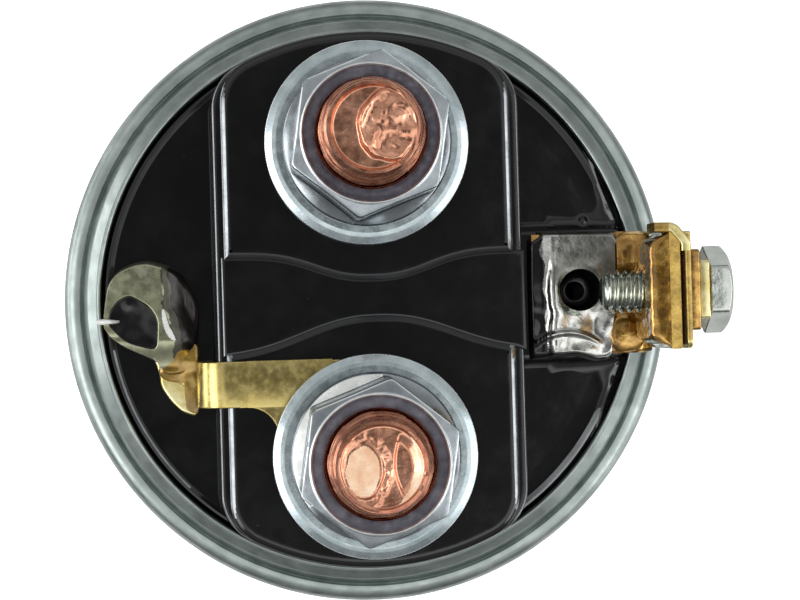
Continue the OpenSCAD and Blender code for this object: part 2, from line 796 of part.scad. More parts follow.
// Outline of the strap's foot and solder lug on the cap's low side area
module strap_foot_outline() {
  difference() {
    intersection() {
      circle(r = lug_limit_r);
      union() {
        translate([-lug_x, -lug_y]) circle(r = lug_r);
        translate([-foot_outer_x, -foot_low_y + foot_corner_r])
          square([neck_w, foot_low_y - foot_corner_r - lug_y]);
        translate([-foot_outer_x, -foot_low_y + foot_corner_r])
          square([foot_outer_x - strap_bend_x + strap_t,
                  foot_low_y - foot_corner_r - strap_high_y]);
        translate([-foot_outer_x + foot_corner_r, -foot_low_y])
          square([foot_outer_x - foot_corner_r - strap_bend_x + strap_t, foot_corner_r]);
        translate([-foot_outer_x + foot_corner_r, -foot_low_y + foot_corner_r])
          circle(r = foot_corner_r);
      }
    }
    translate([-motor_lead_x, -motor_lead_y]) circle(r = lead_hole_r);
  }
}

module motor_strap() {
  color(brass) {
    translate([0, 0, land_z])
      linear_extrude(height = strap_t) strap_arm_outline();
    translate([-strap_bend_x + strap_bend_r, -strap_y, land_z + strap_t - strap_bend_r])
      sheet_bend(strap_bend_r, strap_t, strap_w);
    translate([-strap_bend_x, -strap_low_y, foot_z])
      cube([strap_t, strap_w, land_z + strap_t - strap_bend_r - foot_z]);
    translate([0, 0, foot_z])
      linear_extrude(height = strap_t) strap_foot_outline();
  }
}

// Motor lead: up from the coil, through the cap and bent outwards over the lug
module motor_lead_wire(r) {
  bend_z = foot_z + strap_t + strap_solder_h;
  translate([-motor_rise_x, -motor_lead_y, lead_start_z])
    cylinder(r = r, h = bend_z - lead_start_z);
  translate([-motor_rise_x, -motor_lead_y, bend_z]) sphere(r = r);
  translate([-motor_rise_x, -motor_lead_y, bend_z])
    rotate([0, -90, 0]) cylinder(r = r, h = lead_tip_x - motor_rise_x);
}

module motor_lead() {
  color(wire) motor_lead_wire(lead_r);
}

// Domed pool of solder of radius r and height h, lying on z
module solder_dome(r, h, z) {
  dome_r = (pow(r, 2) + pow(h, 2)) / (2 * h);
  translate([0, 0, z])
    rotate_extrude()
      intersection() {
        translate([0, h - dome_r]) circle(r = dome_r);
        square([r, h]);
      }
}

module strap_solder() {
  top_z = foot_z + strap_t;
  color(solder)
    difference() {
      intersection() {
        translate([-lug_x, -lug_y, 0])
          solder_dome(lug_r - seat_gap, strap_solder_h, top_z);
        cylinder(r = lug_limit_r, h = 2 * cut);
      }
      translate([-motor_lead_x, -motor_lead_y, 0])
        cylinder(r = lead_hole_r, h = 2 * cut);
      motor_lead_wire(lead_r + seat_gap);
    }
}

module switch_bracket() {
  color(brass)
    difference() {
      union() {
        translate([bracket_inner_x, -bracket_w / 2, bracket_z])
          cube([tab_outer_x - tab_bend_r - bracket_inner_x, bracket_w, bracket_t]);
        translate([tab_outer_x - tab_bend_r, 0, bracket_z + tab_bend_r])
          rotate([0, 180, 0]) sheet_bend(tab_bend_r, bracket_t, tab_w);
        translate([tab_x, -tab_w / 2, bracket_z + tab_bend_r])
          cube([bracket_t, tab_w, bracket_t + tab_h - tab_bend_r]);
        translate([tab_x - collar_len, 0, screw_z])
          rotate([0, 90, 0]) cylinder(r = collar_r, h = collar_len + bracket_t / 2);
      }
      translate([switch_lead_x, 0, 0]) cylinder(r = lead_hole_r, h = 2 * cut);
      translate([0, 0, screw_z])
        rotate([0, 90, 0]) cylinder(r = screw_r + seat_gap, h = cut);
    }
}

module switch_solder() {
  color(solder)
    difference() {
      union() {
        translate([bracket_inner_x, -bracket_w / 2, bracket_top_z])
          cube([pool_w, bracket_w, pool_h]);
        translate([switch_lead_x, 0, 0])
          solder_dome(pool_ring_r, pool_ring_h, bracket_top_z);
      }
      translate([switch_lead_x, 0, 0]) cylinder(r = lead_hole_r, h = 2 * cut);
    }
}

module switch_clamp_plate() {
  color(brass)
    difference() {
      union() {
        translate([clamp_x, -tab_w / 2, bracket_top_z + seat_gap])
          cube([clamp_t, tab_w, clamp_h]);
        translate([clamp_x, 0, bracket_top_z + seat_gap + clamp_h - ear_h])
          cube([clamp_t, tab_w / 2 + seat_gap + ear_t, ear_h]);
        translate([clamp_x + clamp_t - ear_len, tab_w / 2 + seat_gap,
                   bracket_top_z + seat_gap + clamp_h - ear_h])
          cube([ear_len, ear_t, ear_h]);
      }
      translate([0, 0, screw_z])
        rotate([0, 90, 0]) cylinder(r = screw_r + loose_gap, h = cut);
    }
}

module switch_square_washer() {
  color(brass)
    difference() {
      translate([square_x, -square_w / 2, screw_z - square_w / 2])
        cube([square_t, square_w, square_w]);
      translate([0, 0, screw_z])
        rotate([0, 90, 0]) cylinder(r = screw_r + loose_gap, h = cut);
    }
}

module switch_screw() {
  head_corner_r = screw_af / sqrt(3);
  color(zinc)
    translate([0, 0, screw_z])
      rotate([0, 90, 0]) {
        translate([0, 0, screw_end_x]) cylinder(r = screw_r, h = head_x - screw_end_x);
        intersection() {
          translate([0, 0, head_x]) rotate([0, 0, 90]) hexagon(screw_af, screw_head_t);
          rotate_extrude()
            polygon([
              [0, head_x],
              [head_corner_r, head_x],
              [head_corner_r, head_x + screw_head_t - (head_corner_r - screw_r) / 4],
              [screw_r, head_x + screw_head_t],
              [0, head_x + screw_head_t]
            ]);
        }
      }
}

module switch_lead() {
  color(wire)
    translate([switch_rise_x, 0, lead_start_z])
      cylinder(r = lead_r, h = bracket_z - lead_start_z);
}

module coil_bobbin() {
  color(nylon) {
    pipe(bobbin_tube_r, bobbin_bore_r, bobbin_front_z, bobbin_rear_z - bobbin_front_z);
    pipe(case_inner_r - loose_gap, bobbin_bore_r, bobbin_front_z, bobbin_flange_t);
    pipe(case_inner_r - loose_gap, bobbin_bore_r, bobbin_rear_z - bobbin_flange_t,
         bobbin_flange_t);
  }
}

module guide_tube() {
  color(brass)
    pipe(tube_outer_r, tube_inner_r, front_recess_depth, tube_end_z - front_recess_depth);
}

module pull_in_winding() {
  color(wire)
    pipe(pull_in_r, bobbin_tube_r + seat_gap, winding_front_z, winding_len);
}

module hold_in_winding() {
  color(wire)
    pipe(hold_in_r, pull_in_r + seat_gap, winding_front_z, winding_len);
}

module winding_wrap() {
  color(paper)
    pipe(hold_in_r + seat_gap + wrap_t, hold_in_r + seat_gap, winding_front_z, winding_len);
}

module pole_core() {
  color(iron)
    difference() {
      union() {
        translate([0, 0, plate_z]) cylinder(r = plate_r, h = plate_t);
        translate([0, 0, core_z])
          cylinder(r = tube_inner_r - seat_gap, h = plate_z - core_z + plate_t / 2);
      }
      cylinder(r = contact_rod_r + contact_rod_clearance, h = 2 * cut);
      translate([0, 0, core_well_z]) cylinder(r = core_well_r, h = cut);
      lead_holes();
    }
}

module plunger() {
  groove_h = ring_t + 2 * seat_gap;
  color(iron)
    difference() {
      translate([0, 0, -plunger_front])
        cylinder(r = plunger_r, h = plunger_front + plunger_rear_z);
      translate([0, 0, plunger_rear_z - plunger_rear_t - cut])
        cylinder(r = plunger_bore_r, h = cut);
      translate([0, 0, ring_z - seat_gap])
        difference() {
          cylinder(r = plunger_r + cut, h = groove_h);
          cylinder(r = plunger_r - ring_groove, h = groove_h);
        }
    }
}

module spring_seat() {
  color(zinc)
    pipe(seat_r, plunger_r + seat_gap, seat_z, seat_t);
}

module plunger_ring() {
  color(iron)
    difference() {
      pipe(ring_r, plunger_r - ring_groove + seat_gap, ring_z, ring_t);
      translate([0, -ring_gap / 2, ring_z - cut / 2])
        cube([cut, ring_gap, cut]);
    }
}

module plunger_plug() {
  color(iron)
    pipe(plunger_bore_r - seat_gap, rod_r + loose_gap, plug_z, plug_t);
}

module return_spring() {
  color(steel)
    coil_spring(return_mean_r, return_wire_d, return_spring_z + seat_gap,
                front_recess_depth - return_spring_z - 2 * seat_gap, return_curls);
}

module pull_rod() {
  neck_z = eye_z + (eye_r + eye_bore_r) / 2;
  color(zinc)
    difference() {
      union() {
        translate([0, 0, rod_head_z]) cylinder(r = rod_head_r, h = rod_head_t);
        translate([0, 0, neck_z])
          cylinder(r = rod_r, h = rod_head_z + rod_head_t / 2 - neck_z);
        translate([-eye_t / 2, 0, eye_z])
          rotate([0, 90, 0]) cylinder(r = eye_r, h = eye_t);
      }
      translate([-cut / 2, 0, eye_z])
        rotate([0, 90, 0]) cylinder(r = eye_bore_r, h = cut);
    }
}

module meshing_spring() {
  start_z = plug_z + plug_t + seat_gap;
  color(steel)
    coil_spring(mesh_mean_r, mesh_wire_d, start_z, rod_head_z - seat_gap - start_z,
                mesh_curls);
}

module contact_rod() {
  color(zinc)
    rotate_extrude()
      polygon([
        [0, contact_rod_z],
        [contact_rod_r, contact_rod_z],
        [contact_rod_r, shoulder_z],
        [shoulder_r, shoulder_z],
        [shoulder_r, shoulder_z + shoulder_t],
        [stem_r, shoulder_z + shoulder_t],
        [stem_r, clip_z - seat_gap],
        [stem_r - clip_groove, clip_z - seat_gap],
        [stem_r - clip_groove, clip_z + clip_t + seat_gap],
        [stem_r, clip_z + clip_t + seat_gap],
        [stem_r, stem_top_z],
        [0, stem_top_z]
      ]);
}

module contact_spring() {
  start_z = contact_spring_z + seat_gap;
  color(steel)
    coil_spring(contact_mean_r, contact_wire_d, start_z, bush_z - seat_gap - start_z,
                contact_curls);
}

module contact_disc() {
  color(copper)
    pipe(disc_r, bush_r + seat_gap, disc_z, disc_t);
}

module contact_bush() {
  color(nylon) {
    pipe(bush_flange_r, bush_bore_r, bush_z, bush_flange_t);
    pipe(bush_r, bush_bore_r, bush_z, disc_z + disc_t - bush_z);
  }
}

module contact_insulator() {
  color(nylon)
    pipe(insulator_r, bush_bore_r, insulator_z, insulator_t);
}

module contact_clip() {
  color(steel)
    difference() {
      pipe(clip_r, stem_r - clip_groove + seat_gap, clip_z, clip_t);
      translate([0, -stem_r / 2, clip_z - cut / 2])
        cube([cut, stem_r, cut]);
    }
}

module contact_return_spring() {
  start_z = opening_spring_z + seat_gap;
  color(steel)
    coil_spring(opening_mean_r, opening_wire_d, start_z,
                pocket_top_z - seat_gap - start_z, opening_curls);
}

solenoid_case();
terminal_cap();
cap_gasket();
battery_stud();
motor_stud();
battery_washer();
motor_washer();
battery_nut();
motor_nut();
motor_strap();
strap_solder();
switch_bracket();
switch_solder();
switch_clamp_plate();
switch_square_washer();
switch_screw();
coil_bobbin();
guide_tube();
pull_in_winding();
hold_in_winding();
winding_wrap();
pole_core();
switch_lead();
motor_lead();
plunger();
spring_seat();
plunger_ring();
plunger_plug();
return_spring();
pull_rod();
meshing_spring();
contact_rod();
contact_spring();
contact_disc();
contact_bush();
contact_insulator();
contact_clip();
contact_return_spring();
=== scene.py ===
"""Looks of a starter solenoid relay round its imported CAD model.

Meshes are written in millimetres in the row frame: +Z towards the terminals, +X towards the
switch terminal, +Y towards the battery stud. Angles are in degrees, but for those named a.
"""

import json
from math import acos, asin, atan2, cos, degrees, exp, hypot, log, pi, radians, sin, sqrt, tan

import bmesh
import bpy
import numpy as np
from mathutils import Matrix, Vector, noise
from mathutils.geometry import tessellate_polygon


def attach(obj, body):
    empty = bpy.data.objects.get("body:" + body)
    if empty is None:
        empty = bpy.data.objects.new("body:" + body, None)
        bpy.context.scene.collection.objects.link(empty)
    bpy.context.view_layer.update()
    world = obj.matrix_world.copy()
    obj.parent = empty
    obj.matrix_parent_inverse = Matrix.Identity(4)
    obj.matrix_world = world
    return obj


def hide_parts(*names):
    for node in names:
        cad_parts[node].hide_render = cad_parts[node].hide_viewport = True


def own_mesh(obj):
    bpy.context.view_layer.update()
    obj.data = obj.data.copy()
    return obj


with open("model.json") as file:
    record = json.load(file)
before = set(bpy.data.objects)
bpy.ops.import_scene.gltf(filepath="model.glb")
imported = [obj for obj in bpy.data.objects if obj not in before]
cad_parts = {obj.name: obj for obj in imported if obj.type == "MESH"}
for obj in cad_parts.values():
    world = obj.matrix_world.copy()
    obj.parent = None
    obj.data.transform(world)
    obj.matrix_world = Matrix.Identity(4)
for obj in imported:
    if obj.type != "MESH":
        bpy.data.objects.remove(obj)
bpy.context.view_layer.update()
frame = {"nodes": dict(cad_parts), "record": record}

MM = 0.001
TAU = 2 * pi
CREASE = 38


def span(node, axis):
    """Lowest and highest place of a CAD node along x, y or z, in millimetres."""
    part = frame["nodes"][node]
    places = [getattr(part.matrix_world @ v.co, axis) / MM for v in part.data.vertices]
    return round(min(places), 2), round(max(places), 2)


# Sizes read from the CAD model
CASE_R = span("solenoid_case", "x")[1]
CAP_LOW_Z, LAND_Z = span("terminal_cap", "z")
STUD_Y = sum(span("battery_stud", "y")) / 2
STUD_FOOT_Z = span("battery_stud", "z")[0]
STUD_HEAD_R = span("battery_stud", "x")[1]
WASHER_R = span("battery_washer", "x")[1]
STRAP_T = span("motor_washer", "z")[0] - LAND_Z
SCREW_Z = sum(span("switch_square_washer", "z")) / 2
TAB_TOP_Z = span("switch_bracket", "z")[1]
PLUNGER_R = span("plunger", "x")[1]

# Sizes that the CAD model's boxes don't give
SIDE_Z = 60.8
STUD_R = 5.0
NUT_AF = 14.0
NUT_TURN = 21.0
LEAD_HOLE = (21.2, 0.3)
LEAD_HOLE_R = 2.0
BRACKET_HOLE = (21.15, 0.35)


# Colours and shader nodes
def srgb(code):
    """Linear RGBA of a six-digit screen colour."""
    parts = [int(code[i : i + 2], 16) / 255 for i in (0, 2, 4)]
    return tuple(c / 12.92 if c < 0.04045 else ((c + 0.055) / 1.055) ** 2.4 for c in parts) + (1.0,)


def add(tree, kind, props=None, **sockets):
    """Adds a shader node. A socket is named by its name or, as s0, by its number."""
    node = tree.nodes.new("ShaderNode" + kind)
    for key, value in (props or {}).items():
        setattr(node, key, value)
    for key, value in sockets.items():
        numbered = key[0] == "s" and key[1:].isdigit()
        target = node.inputs[int(key[1:]) if numbered else key.replace("_", " ")]
        if isinstance(value, bpy.types.NodeSocket):
            tree.links.new(value, target)
        else:
            target.default_value = value
    return node


def math_node(tree, operation, *values):
    """Output of a Math node."""
    node = add(tree, "Math", {"operation": operation}, **{f"s{i}": v for i, v in enumerate(values)})
    return node.outputs[0]


def ramp(tree, value, low, high, out_low=0.0, out_high=1.0):
    """Value carried smoothly from low..high to out_low..out_high."""
    node = add(tree, "MapRange", {"interpolation_type": "SMOOTHSTEP"}, Value=value)
    for key, number in zip(("From Min", "From Max", "To Min", "To Max"), (low, high, out_low, out_high)):
        node.inputs[key].default_value = number
    return node.outputs[0]


def fill_stops(colour_ramp, stops):
    """Sets a ramp's stops, given as (place, colour)."""
    while len(colour_ramp.elements) < len(stops):
        colour_ramp.elements.new(0.5)
    for stop, (place, colour) in zip(colour_ramp.elements, stops):
        stop.position = place
        stop.color = colour


def coordinates(tree, turned=0.0):
    """Object coordinates in millimetres; turned above 0 gives rings round the object's Z axis."""
    source = add(tree, "TexCoord").outputs["Object"]
    scaled = add(tree, "VectorMath", {"operation": "SCALE"}, s0=source, Scale=1 / MM).outputs[0]
    if not turned:
        return scaled
    x, y, z = add(tree, "SeparateXYZ", s0=scaled).outputs
    squares = [math_node(tree, "MULTIPLY", side, side) for side in (x, y)]
    radius = math_node(tree, "SQRT", math_node(tree, "ADD", *squares))
    bent = add(tree, "TexNoise", s0=scaled, Scale=0.12, Detail=1.0).outputs[0]
    return add(tree, "CombineXYZ", s0=math_node(tree, "MULTIPLY", radius, turned),
               s1=math_node(tree, "MULTIPLY", bent, 2.0),
               s2=math_node(tree, "MULTIPLY", z, turned)).outputs[0]


def material(name, tones, rough, bumps, mottle=0.5, metal=1.0, patches=1.0, rings=None, coat=0.0,
             specks=None):
    """Adds a procedural material: mottled tones, uneven roughness, bumps and turned rings.

    mottle and patches are the scales per millimetre of the tones and of the roughness. bumps
    are noise layers of (scale, depth in millimetres, detail), rings are (scale, depth) and
    specks are (tone, scale, threshold).
    """
    mat = bpy.data.materials.new(name)
    mat.use_nodes = True
    tree = mat.node_tree
    shader = tree.nodes["Principled BSDF"]
    shader.inputs["Metallic"].default_value = metal
    shader.inputs["Coat Weight"].default_value = coat
    shader.inputs["Coat Roughness"].default_value = 0.04
    flat = coordinates(tree)
    cloud = add(tree, "TexNoise", s0=flat, Scale=mottle, Detail=6.0, Roughness=0.62).outputs[0]
    colours = add(tree, "ValToRGB", s0=cloud)
    codes = tones.split()
    fill_stops(colours.color_ramp, list(zip(np.linspace(0.32, 0.68, len(codes)), map(srgb, codes))))
    colour = colours.outputs[0]
    if specks:
        tone, scale, threshold = specks
        dots = add(tree, "TexNoise", s0=flat, Scale=scale, Detail=2.0).outputs[0]
        colour = add(tree, "Mix", {"data_type": "RGBA"}, s0=ramp(tree, dots, threshold, threshold + 0.03),
                     s6=colour, s7=srgb(tone)).outputs[2]
    tree.links.new(colour, shader.inputs["Base Color"])
    uneven = add(tree, "TexNoise", s0=flat, Scale=patches, Detail=5.0, Roughness=0.6).outputs[0]
    tree.links.new(ramp(tree, uneven, 0.35, 0.68, *rough), shader.inputs["Roughness"])
    layers = [(flat, *bump) for bump in bumps]
    if rings:
        layers.append((coordinates(tree, rings[0]), 1.0, rings[1], 3.0))
    normal = None
    for vector, scale, depth, detail in layers:
        height = add(tree, "TexNoise", s0=vector, Scale=scale, Detail=detail).outputs[0]
        bump = add(tree, "Bump", Strength=1.0, Distance=depth * MM, Height=height)
        if normal:
            tree.links.new(normal, bump.inputs["Normal"])
        normal = bump.outputs[0]
    tree.links.new(normal, shader.inputs["Normal"])
    MATS[name] = mat


MATS = {}
# Zinc plate and steel
material("case_zinc", "8b9491 9aa3a0 abb3b0", (0.32, 0.44), [(0.6, 0.012, 4), (7, 0.003, 4)], mottle=0.3,
         patches=0.7, rings=(5, 0.004))
material("bright_zinc", "9aa7aa abb6b9 bcc6c8", (0.24, 0.34), [(0.7, 0.02, 4), (6, 0.004, 4)], mottle=0.45,
         patches=1.2, rings=(3, 0.002))
material("nut_zinc", "8b9196 969ca0 a3a9ac", (0.16, 0.26), [(1, 0.006, 5), (6, 0.003, 3)], patches=0.9,
         rings=(2, 0.003))
material("nut_face", "45434c 57555e 6e6c74", (0.3, 0.42), [(2, 0.012, 5), (6, 0.004, 3)], mottle=0.8,
         metal=0.35, patches=1.6)
# Near-white zinc laid on the edges of washers and nuts as painted highlights.
material("zinc_edge_highlight", "d8dddf e4e8e9 eef1f1", (0.34, 0.46), [(2, 0.01, 3)], mottle=0.8)
material("head_zinc", "9fa39e b0b4ae c2c5bf", (0.16, 0.28), [(1.2, 0.04, 3), (6, 0.004, 3)], mottle=0.6,
         patches=1.2)
material("thread_zinc", "9aa195 b0b6ab c4c9be", (0.16, 0.28), [(3, 0.008, 4)], mottle=0.8, patches=1.2)
material("iron", "5a5b5e 6d6e70 7c7d7e", (0.32, 0.5), [(2, 0.01, 4)], mottle=0.4, rings=(5, 0.008))
material("rod_steel", "4d4f52 606266 727478", (0.34, 0.5), [(2.5, 0.012, 4)], rings=(3, 0.006))
material("spring_steel", "3c3d40 525357 66686c", (0.28, 0.42), [(3, 0.006, 4)], mottle=0.8, patches=1.5)
# Moulded cap, sealing and insulation
material("cap_black", "070708 0d0d0e 09090a", (0.06, 0.16), [(0.35, 0.02, 2), (2.2, 0.004, 4)], mottle=0.2,
         metal=0, patches=0.3, specks=("7c8082", 2.6, 0.8))
# Grey gloss laid on the black moulding's edges and fillets as painted highlight lines.
material("cap_edge_highlight", "6c6f71 7c7f81 8c8f91", (0.12, 0.2), [(1.5, 0.006, 3)], patches=0.6)
material("cap_matt", "0a0a0b 101011 0d0d0e", (0.3, 0.42), [(0.6, 0.02, 3)], mottle=0.3, metal=0,
         patches=0.4)
# Grey laid on the cap's raised edge beside the terminal as a painted highlight.
material("cap_ring_highlight", "6c6f70 7d8081 8e9192", (0.16, 0.26), [(0.8, 0.02, 3)], mottle=0.35, metal=0.3,
         patches=0.6)
material("potting", "080808 101010 0a0a0a", (0.05, 0.12), [(0.5, 0.02, 3), (3, 0.004, 3)], mottle=0.4,
         metal=0, patches=0.6, specks=("8a8a82", 3.5, 0.8))
material("compound", "0d0d0f 151517 101012", (0.1, 0.18), [(1.2, 0.01, 3)], metal=0, patches=0.8)
material("rubber", "141414 1c1c1c", (0.6, 0.8), [(4, 0.01, 3)], mottle=0.6, metal=0)
material("paper", "a08a58 b8a26c c8b47e", (0.45, 0.7), [(3, 0.03, 5)], mottle=0.8, metal=0)
material("nylon", "c8bfa6 d6ceb6 ded8c4", (0.35, 0.5), [(2, 0.01, 3)], metal=0)
# Copper
material("copper", "986250 b07861 c48d74", (0.2, 0.32), [(3, 0.008, 4)], mottle=0.7, patches=1.2,
         rings=(4, 0.006))
material("copper_tip", "b67d64 cf967a e6ac8f", (0.18, 0.28), [(1.2, 0.03, 3), (6, 0.004, 3)], mottle=0.45,
         patches=0.9)
# Pale peach copper laid on the motor stud's tip as a painted highlight.
material("copper_highlight", "eab18a f8d2b0 fff2e0", (0.24, 0.34), [(1.2, 0.03, 3), (6, 0.004, 3)], mottle=0.3,
         metal=0.25, patches=0.9)
# Pale white for the tinned point of the motor lead, also laid on a nut collar and the lug's solder as painted
# highlights.
material("white_tin_and_highlight", "d6d8d4 e4e6e2 f2f3f0", (0.2, 0.3), [(1.5, 0.02, 3)], mottle=0.6, metal=0.25)
material("winding", "6b2f14 8a4420 a25a2c", (0.2, 0.35), [(2.5, 0.02, 2)], mottle=0.8, metal=0.4,
         rings=(2.4, 0.05))
# Brass and what has run over it
material("brass", "b6a261 c2af6e ccbb7d", (0.2, 0.3), [(0.5, 0.02, 3), (3, 0.002, 4)])
material("pale_brass", "c2b06c d6c98d e8dfb4", (0.26, 0.36), [(1, 0.03, 3), (5, 0.004, 3)], mottle=0.6,
         patches=1.2)
material("lacquer", "61430f a0752a d3ab58", (0.14, 0.28), [(0.8, 0.06, 3), (3, 0.014, 4)], mottle=0.45,
         metal=0.9, coat=1)
# Dark red-brown lacquer for the gap behind the clamp plate, darkened as painted shade of the recess.
material("shaded_gap_lacquer", "2e0f05 4a1c0a 6a3012", (0.1, 0.3), [(1.5, 0.03, 3)], mottle=0.9, metal=0.2, coat=1)
material("film", "8d7330 b89645 dab75e", (0.22, 0.36), [(1, 0.06, 3), (5, 0.012, 3)], mottle=0.7,
         metal=0.35, patches=1.4, coat=0.6)
# Amber flux; also laid on the clamp ear's left end as painted shade.
material("flux_and_shade", "6b5118 8f7026 b08f42", (0.2, 0.34), [(0.8, 0.03, 3)], mottle=0.4, metal=0.7, coat=1)
# Dark browns laid on the lug solder's right flank as painted shade.
material("flank_deep_shade", "1b1816 25211e 302b28", (0.16, 0.26), [(0.8, 0.015, 3)], metal=0.5, patches=0.8)
material("flank_half_shade", "3f3e36 4e4d43 5d5c50", (0.18, 0.28), [(0.8, 0.015, 3)], metal=0.6, patches=0.8)
material("solder", "5e5e58 82827c a6a6a2", (0.16, 0.3), [(0.9, 0.04, 3), (4, 0.008, 4)], mottle=0.3,
         patches=0.8)
# Lighter solder laid on as a painted highlight.
material("solder_highlight", "8a8a85 b2b2ad dadad6", (0.14, 0.26), [(0.9, 0.05, 3), (4, 0.008, 4)], mottle=0.3,
         patches=0.8)
material("solder_dark", "8c8d76 98997d a4a593", (0.24, 0.36), [(0.8, 0.02, 3), (4, 0.004, 4)], mottle=0.3,
         patches=0.9, coat=0.4)


# Making pieces
def put(name, data, place=(0, 0, 0)):
    """Puts a new object in the scene at a place in millimetres."""
    obj = bpy.data.objects.new(name, data)
    bpy.context.scene.collection.objects.link(obj)
    obj.location = Vector(place) * MM
    return obj


def ready_mesh(name, make, **sizes):
    """Mesh of one of bmesh's own shapes."""
    bm = bmesh.new()
    make(bm, **sizes)
    mesh = bpy.data.meshes.new(name)
    bm.to_mesh(mesh)
    bm.free()
    return mesh


def drill(obj, centre, radius, low, high):
    """Cuts a round hole along Z through the piece and leaves a plain mesh."""
    mesh = ready_mesh("cutter", bmesh.ops.create_cone, cap_ends=True, segments=64, radius1=radius * MM,
                      radius2=radius * MM, depth=(high - low) * MM)
    cutter = put("cutter", mesh, (*centre, (low + high) / 2))
    cut = obj.modifiers.new("hole", "BOOLEAN")
    cut.operation = "DIFFERENCE"
    cut.solver = "EXACT"
    cut.object = cutter
    bpy.context.view_layer.update()
    graph = bpy.context.evaluated_depsgraph_get()
    made = bpy.data.meshes.new_from_object(obj.evaluated_get(graph))
    obj.modifiers.clear()
    obj.data = made
    made.set_sharp_from_angle(angle=radians(CREASE))
    bpy.data.objects.remove(cutter)


def build(name, shape, look, replaced=None, body="housing", origin=(0, 0, 0),
          crease=CREASE, holes=()):
    """Makes one piece of a shape, which is points in millimetres from its origin, and faces.

    It is smooth but for edges sharper than crease. holes are (centre, radius, low z, high z).
    """
    verts, faces = shape
    mesh = bpy.data.meshes.new(name)
    mesh.from_pydata((np.array(verts, float) * MM).tolist(), [], faces)
    bm = bmesh.new()
    bm.from_mesh(mesh)
    bmesh.ops.remove_doubles(bm, verts=bm.verts, dist=1e-7)
    bmesh.ops.recalc_face_normals(bm, faces=bm.faces)
    bm.to_mesh(mesh)
    bm.free()
    mesh.polygons.foreach_set("use_smooth", [True] * len(mesh.polygons))
    mesh.set_sharp_from_angle(angle=radians(crease))
    mesh.materials.append(MATS[look])
    obj = put(name, mesh, origin)
    for hole in holes:
        drill(obj, *hole)
    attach(obj, body)
    if replaced:
        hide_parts(replaced)
    return obj


def recolour(obj, look, chosen):
    """Gives the faces whose centre in millimetres and normal pass a test another material: a finish, a
    painted highlight or a painted shade.
    """
    obj.data.materials.append(MATS[look])
    index = len(obj.data.materials) - 1
    for face in obj.data.polygons:
        if chosen(face.center / MM, face.normal):
            face.material_index = index


# Curves and surfaces
def bumpy(x, y, z, scale, seed=0.0):
    """Smooth noise between about -1 and 1."""
    return noise.noise(Vector((x * scale + seed, y * scale - seed, z * scale + 0.37 * seed)))


def step(value, low, high):
    """0 below low, 1 above high and smooth between them."""
    t = min(1.0, max(0.0, (value - low) / (high - low)))
    return t * t * (3 - 2 * t)


def hill(value, centre, width):
    """1 at the centre, falling like a bell on both sides."""
    return exp(-(((value - centre) / width) ** 2))


def dome(u, v=0.0):
    """Height of a round dome of radius 1 and height 1 over a place."""
    return sqrt(max(0.0, 1 - u ** 2 - v ** 2))


def soft_min(a, b, width):
    """Smaller of two numbers, blended where they are close."""
    return -width * log(exp(-a / width) + exp(-b / width))


def thread(depth, pitch, place):
    """Depth of a rounded thread below its crest at a place along it."""
    return depth * (0.5 - 0.5 * cos(TAU * ((place / pitch) % 1.0))) ** 0.8


def azimuth(x, y):
    """Direction of a point from the axis, from -180 to 180."""
    return degrees(atan2(y, x))


def round_angles(steps):
    """Even angles round a circle, in radians."""
    return np.arange(steps) * TAU / steps


def arc(centre, radius, start, end, steps):
    """Points on an arc."""
    a = np.radians(np.linspace(start, end, steps))
    return np.stack([centre[0] + radius * np.cos(a), centre[1] + radius * np.sin(a)], 1)


def hole_loop(centre, radius, steps=41):
    """Clockwise circle for a hole in a slab."""
    return arc(centre, radius, 360, 0, steps)[:-1]


def box_loop(half_x, low_y, high_y, radius):
    """Rectangle across x = 0 with rounded corners."""
    return fillet([(-half_x, low_y), (half_x, low_y), (half_x, high_y), (-half_x, high_y)], radius, 4)


def fillet(points, radius, steps=5, closed=True):
    """Polyline with rounded corners; radius is one number, or one for each corner."""
    pts = [np.array(p, float) for p in points]
    radii = [radius] * len(pts) if np.isscalar(radius) else radius
    out = []
    for i, p in enumerate(pts):
        if radii[i] <= 0 or (not closed and i in (0, len(pts) - 1)):
            out.append(p)
            continue
        a, b = pts[i - 1] - p, pts[(i + 1) % len(pts)] - p
        room_a, room_b = np.linalg.norm(a), np.linalg.norm(b)
        a, b = a / room_a, b / room_b
        half = 0.5 * acos(np.clip(a @ b, -0.9999, 0.9999))
        reach = min(radii[i] / tan(half), 0.49 * room_a, 0.49 * room_b)
        bend_r = reach * tan(half)
        centre = p + (a + b) / np.linalg.norm(a + b) * bend_r / sin(half)
        u, v = p + a * reach - centre, p + b * reach - centre
        for t in np.linspace(0, 1, steps + 1):
            w = u * (1 - t) + v * t
            out.append(centre + w * bend_r / np.linalg.norm(w))
    return np.array(out)


def smooth_loop(points, count):
    """Closed smooth curve through the points, as count points."""
    pts = np.array(points, float)
    n = len(pts)
    out = []
    for s in np.arange(count) * n / count:
        i, t = int(s), s - int(s)
        p0, p1, p2, p3 = (pts[(i + k) % n] for k in (-1, 0, 1, 2))
        out.append(0.5 * (2 * p1 + (p2 - p0) * t + (2 * p0 - 5 * p1 + 4 * p2 - p3) * t * t
                          + (3 * p1 - p0 - 3 * p2 + p3) * t ** 3))
    return np.array(out)


def outward(loop):
    """Mitred outward directions of an anticlockwise loop."""
    edge = np.roll(loop, -1, 0) - loop
    normal = np.stack([edge[:, 1], -edge[:, 0]], 1)
    normal /= np.maximum(np.linalg.norm(normal, axis=1, keepdims=True), 1e-9)
    both = normal + np.roll(normal, 1, 0)
    return both / np.maximum((both ** 2).sum(1, keepdims=True) / 2, 0.6)


